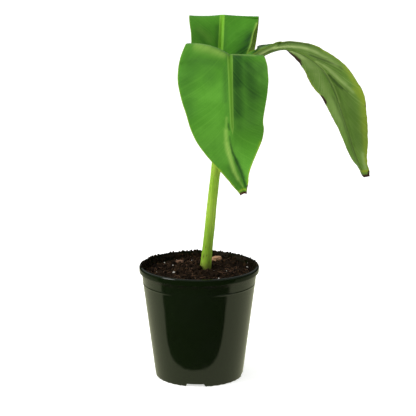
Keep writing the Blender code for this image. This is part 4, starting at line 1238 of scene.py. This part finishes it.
def half_leaf(leaf, side, along, angles, share, petiole):
    """Half the leaf: its width and rib, and for each point the way out, the vein and the place."""
    width = np.maximum(half_widths(leaf, along, side), sheath_widths(leaf, along))[:, None]
    rib = np.minimum(RIB_HALF_WIDTH, 0.7 * width)
    out = np.where(COLUMNS < 1, rib * COLUMNS, rib + (width - rib) * np.maximum(COLUMNS - 1, 0))
    v = out / width
    fold, curl = angles[:, 2 + side, None], angles[:, 4 + side, None]
    curl = np.where(np.abs(curl) < LEAST_CURL, LEAST_CURL, curl)
    over = width * (np.sin(fold + curl * v) - np.sin(fold)) / curl
    up = -width * (np.cos(fold + curl * v) - np.cos(fold)) / curl
    blade = (1 - petiole)[:, None]
    wave = np.sin(2 * np.pi * leaf.waves * share + 1.3 * side)[:, None]
    up = up + leaf.wave_height * wave * v ** 2 * blade * (width / WAVE_AT)
    up = up + ruffles(leaf, along, v, side) * blade
    vein = along[:, None] - leaf.slant * out * (1 - 0.45 * v) - 0.006 * v ** 6
    raised = np.clip((out - 0.003) / 0.004, 0, 1) * np.clip((width - out) / 0.004, 0, 1)
    up = up + VEIN_RELIEF * np.sin(2 * np.pi * vein / VEIN_PITCH) * raised * blade
    grooved = np.clip(1 - share / 0.93, 0, 1)[:, None] * blade
    up = up - GROOVE_DEPTH * grooved * np.cos(np.clip(out / GROOVE_HALF_WIDTH, 0, 1) * np.pi / 2) ** 2
    return width, rib, out, vein, over, up


def thickness(width, rib, out, keel, petiole):
    """A thin blade on a rounded rib, going over to a rounded petiole."""
    v = out / width
    rib_round = np.sqrt(np.clip(1 - (out / rib) ** 2, 0, 1))
    petiole_round = np.sqrt(np.clip(1 - v ** 2, 0, 1))
    share = petiole[:, None] * petiole_round + (1 - petiole)[:, None] * rib_round
    plain = BLADE + (MARGIN_THICKNESS - BLADE) * v ** 3
    return plain + (keel[:, None] - plain) * share


def leaf_grid(leaf):
    """Upper face of the leaf as a grid, with its thickness and what the materials read at each point."""
    place, across, upward, angles, along = leaf_frame(leaf)
    share, petiole, keel = leaf_zones(leaf, along)
    middle = len(COLUMNS) - 1
    shape = (len(along), 2 * middle + 1)
    grid, thick = np.zeros((*shape, 3)), np.zeros(shape)
    layers = {name: np.zeros(shape) for name in ("vein", "out", "edge", "share", "rib", "sheath")}
    for side, sign in ((LEFT, -1), (RIGHT, 1)):
        columns = middle + sign * np.arange(len(COLUMNS))
        width, rib, out, vein, over, up = half_leaf(leaf, side, along, angles, share, petiole)
        grid[:, columns] = (place[:, None] + sign * across[:, None] * over[..., None]
                            + upward[:, None] * up[..., None])
        thick[:, columns] = thickness(width, rib, out, keel, petiole)
        layers["vein"][:, columns] = vein + 0.37 * side + leaf.seed
        layers["out"][:, columns] = sign * out
        layers["edge"][:, columns] = width - out
    rib_left = np.clip((leaf.rib_end - along) / RIB_FADE, 0, 1)
    drawn = RIB_DRAWN * (1 - share) ** 0.65 * rib_left - 0.002 * (1 - rib_left) + 0.02 * petiole
    layers["share"][:] = share[:, None]
    layers["rib"][:] = drawn[:, None]
    layers["sheath"][:] = np.clip((leaf.start - along) / 0.030, 0, 1)[:, None]
    # The dark and pale layers hold painted shade and painted highlight; lime, tan and brown are the leaf's
    # own yellowing and scars
    for kind in STROKE_KINDS:
        layers[kind] = stroked(leaf.strokes.get(kind, []), along[:, None], layers["out"])
    return grid, thick, layers


def stroked(strokes, along, out):
    """How strongly a leaf's strokes of one kind colour each of its points."""
    covered = np.zeros(out.shape)
    for stroke in strokes:
        ends = stroke.places[1:] or stroke.places
        for (from_along, from_out), (to_along, to_out) in zip(stroke.places, ends):
            run, over = to_along - from_along, to_out - from_out
            squared = max(run ** 2 + over ** 2, 1e-12)
            reached = np.clip(((along - from_along) * run + (out - from_out) * over) / squared, 0, 1)
            far = np.hypot(along - from_along - reached * run, out - from_out - reached * over)
            covered = np.maximum(covered, stroke.strength * np.exp(-(far / stroke.width) ** 2))
    return covered


def ruffles(leaf, along, v, side):
    """Small uneven waves that grow towards the margin."""
    lift = np.zeros(v.shape)
    for row in range(v.shape[0]):
        near = noise.noise(Vector((along[row] * 60, side * 7.0, leaf.seed)))
        fast = noise.noise(Vector((along[row] * 170, side * 7.0, leaf.seed + 4)))
        lift[row] = leaf.ruffle * (2.2 * near * v[row] ** 2 + 1.0 * fast * v[row] ** 5)
    return lift


def grid_normals(grid):
    down = np.gradient(grid, axis=0)
    over = np.gradient(grid, axis=1)
    normal = np.cross(down, over)
    length = np.linalg.norm(normal, axis=2)
    return normal / np.maximum(length, 1e-12)[..., None]


def make_leaf(leaf, upper, under, slot, replaced):
    """A leaf with its petiole and sheath: upper face, lower face and the thin margin between them."""
    grid, thick, layers = leaf_grid(leaf)
    rows, columns = thick.shape
    normal = grid_normals(grid)
    below = grid - normal * thick[..., None]
    points = np.concatenate([grid.reshape(-1, 3), below.reshape(-1, 3)])
    index = np.arange(rows * columns).reshape(rows, columns)
    top = np.stack([index[:-1, :-1], index[1:, :-1], index[1:, 1:], index[:-1, 1:]], -1).reshape(-1, 4)
    low = top[:, ::-1] + rows * columns
    around = np.concatenate([index[0], index[1:, -1], index[-1, -2::-1], index[-2:0:-1, 0]])
    following = np.roll(around, -1)
    strip = np.stack([around, following, following + rows * columns, around + rows * columns], -1)
    faces = np.concatenate([top, low, strip])
    kinds = np.concatenate([np.zeros(len(top)), np.ones(len(low)), np.zeros(len(strip))])
    piece = add_mesh(leaf.name, points, faces, [upper, under], kinds)
    for name, values in layers.items():
        paint(piece, name, np.concatenate([values.reshape(-1), values.reshape(-1)]))
    settle(piece, slot, replaced)


def glowing(name, tint, strength):
    made = bpy.data.materials.new(name)
    made.use_nodes = True
    made.node_tree.nodes.clear()
    glow = node(made.node_tree, "ShaderNodeEmission", {"Color": tint, "Strength": strength})
    node(made.node_tree, "ShaderNodeOutputMaterial", {"Surface": glow.outputs[0]})
    return made


def make_stage():
    """Pale floor, and the edge of the table top that the pot mirrors."""
    made, tree, shader = new_material("studio_floor")
    shader.inputs["Base Color"].default_value = FLOOR_COLOR
    shader.inputs["Emission Color"].default_value = (1, 1, 1, 1)
    shader.inputs["Emission Strength"].default_value = FLOOR_GLOW
    shader.inputs["Roughness"].default_value = 0.9
    half = FLOOR_SIZE / 2
    corners = [(-half, -half, 0), (half, -half, 0), (half, half, 0), (-half, half, 0)]
    floor = add_mesh("studio_floor", corners, [(0, 1, 2, 3)], [made])
    floor.location.z = -0.0002
    floor.visible_glossy = False
    turns = np.linspace(-0.35, math.pi + 0.1, 60)
    rim = [(TABLE_REACH * math.cos(turn), TABLE_REACH * math.sin(turn)) for turn in turns]
    outline = [(x, y, -0.0001) for x, y in TABLE_EDGE + rim]
    glow = glowing("studio_table", TABLE_TINT, 1.0)
    table = add_mesh("studio_table", outline, [tuple(range(len(outline)))], [glow])
    for way in ("camera", "diffuse", "transmission", "volume_scatter", "shadow"):
        setattr(table, "visible_" + way, False)


def make_world():
    """White to the eye, soft light from above, and a dim room that only mirrored rays see."""
    world = bpy.data.worlds.new("studio")
    bpy.context.scene.world = world
    world.use_nodes = True
    tree = world.node_tree
    tree.nodes.clear()
    rays = node(tree, "ShaderNodeLightPath")
    place = node(tree, "ShaderNodeTexCoord").outputs["Generated"]
    parts = node(tree, "ShaderNodeSeparateXYZ", {0: place})
    height = parts.outputs[2]
    mirrored = mixed(tree, between(tree, height, 0.12, 0.55), ROOM_DARK, ROOM_LIGHT)
    toward = sums(tree, "MULTIPLY_ADD", parts.outputs[0], -0.35, 1.0)
    sideways = node(tree, "ShaderNodeCombineXYZ", {0: toward, 1: toward, 2: toward}).outputs[0]
    dome = mixed(tree, between(tree, height, -0.2, 0.9), DOME_LOW, DOME_HIGH)
    dome = mixed(tree, 1.0, dome, sideways, "MULTIPLY")
    lit = mixed(tree, rays.outputs["Is Glossy Ray"], dome, mirrored)
    seen = mixed(tree, rays.outputs["Is Camera Ray"], lit, (1, 1, 1, 1))
    back = node(tree, "ShaderNodeBackground", {"Color": seen, "Strength": 1.0})
    node(tree, "ShaderNodeOutputWorld", {"Surface": back.outputs[0]})


def make_light(name, place, size, power):
    lamp = bpy.data.lights.new(name, "AREA")
    lamp.energy = power
    lamp.size = size
    light = bpy.data.objects.new(name, lamp)
    light.location = place
    light.rotation_euler = (AIM - Vector(place)).to_track_quat("-Z", "Y").to_euler()
    light.visible_camera = False
    bpy.context.scene.collection.objects.link(light)


def make_camera():
    data = bpy.data.cameras.new("camera")
    data.sensor_width = SENSOR
    data.sensor_fit = "HORIZONTAL"
    data.lens = SENSOR * FOCAL_SHARE
    data.clip_end = 60
    camera = bpy.data.objects.new("camera", data)
    camera.location = CAMERA_AT
    camera.rotation_euler = (CAMERA_TILT, 0, 0)
    bpy.context.scene.collection.objects.link(camera)
    bpy.context.scene.camera = camera


def main():
    make_camera()
    make_world()
    make_stage()
    make_light("key", KEY_AT, KEY_SIZE, KEY_POWER)
    make_light("fill", FILL_AT, FILL_SIZE, FILL_POWER)
    bpy.context.scene.view_settings.view_transform = "Standard"

    mix = make_mix("peat", color(0.0040, 0.0022, 0.0010), color(0.040, 0.022, 0.010), 240)
    brown_bark = make_bark("bark_brown", color(0.075, 0.032, 0.016), color(0.22, 0.11, 0.055))
    tan_bark = make_bark("bark_tan", color(0.26, 0.12, 0.055), color(0.52, 0.30, 0.16))
    perlite = make_perlite()
    make_pot(make_plastic())
    make_soil(mix)
    make_crumbs(mix)
    make_rim_dirt(mix)
    make_fibres(brown_bark)
    make_chip(BARK_TAN, tan_bark, "bark_tan", "bark_chip_tan")
    make_chip(BARK_BROWN, brown_bark, "bark_brown", "bark_chip_brown")
    make_grains(perlite)
    make_stem(make_sheath())

    rib = color(0.084, 0.225, 0.014)
    back_rib = color(0.165, 0.430, 0.022)
    under_rib = color(0.070, 0.120, 0.018)
    front_upper = make_upper("front_upper", color(0.062, 0.224, 0.014), color(0.084, 0.272, 0.022), rib, 1.0)
    back_upper = make_upper("back_upper", color(0.052, 0.205, 0.011), color(0.070, 0.258, 0.016),
                            back_rib, 2.0)
    right_upper = make_upper("right_upper", color(0.056, 0.185, 0.014), color(0.084, 0.240, 0.022), rib, 3.0)
    pale_under = make_under("pale_under", color(0.110, 0.215, 0.026), color(0.160, 0.280, 0.045), rib, 1.0)
    right_under = make_under("right_under", color(0.082, 0.170, 0.018), color(0.115, 0.212, 0.032),
                             under_rib, 3.0)
    make_leaf(LEAF_FRONT, front_upper, pale_under, "leaf", "leaf_front")
    make_leaf(LEAF_BACK, back_upper, pale_under, "leaf", "leaf_back")
    make_leaf(LEAF_RIGHT, right_upper, right_under, "leaf_underside", "leaf_right")


main()
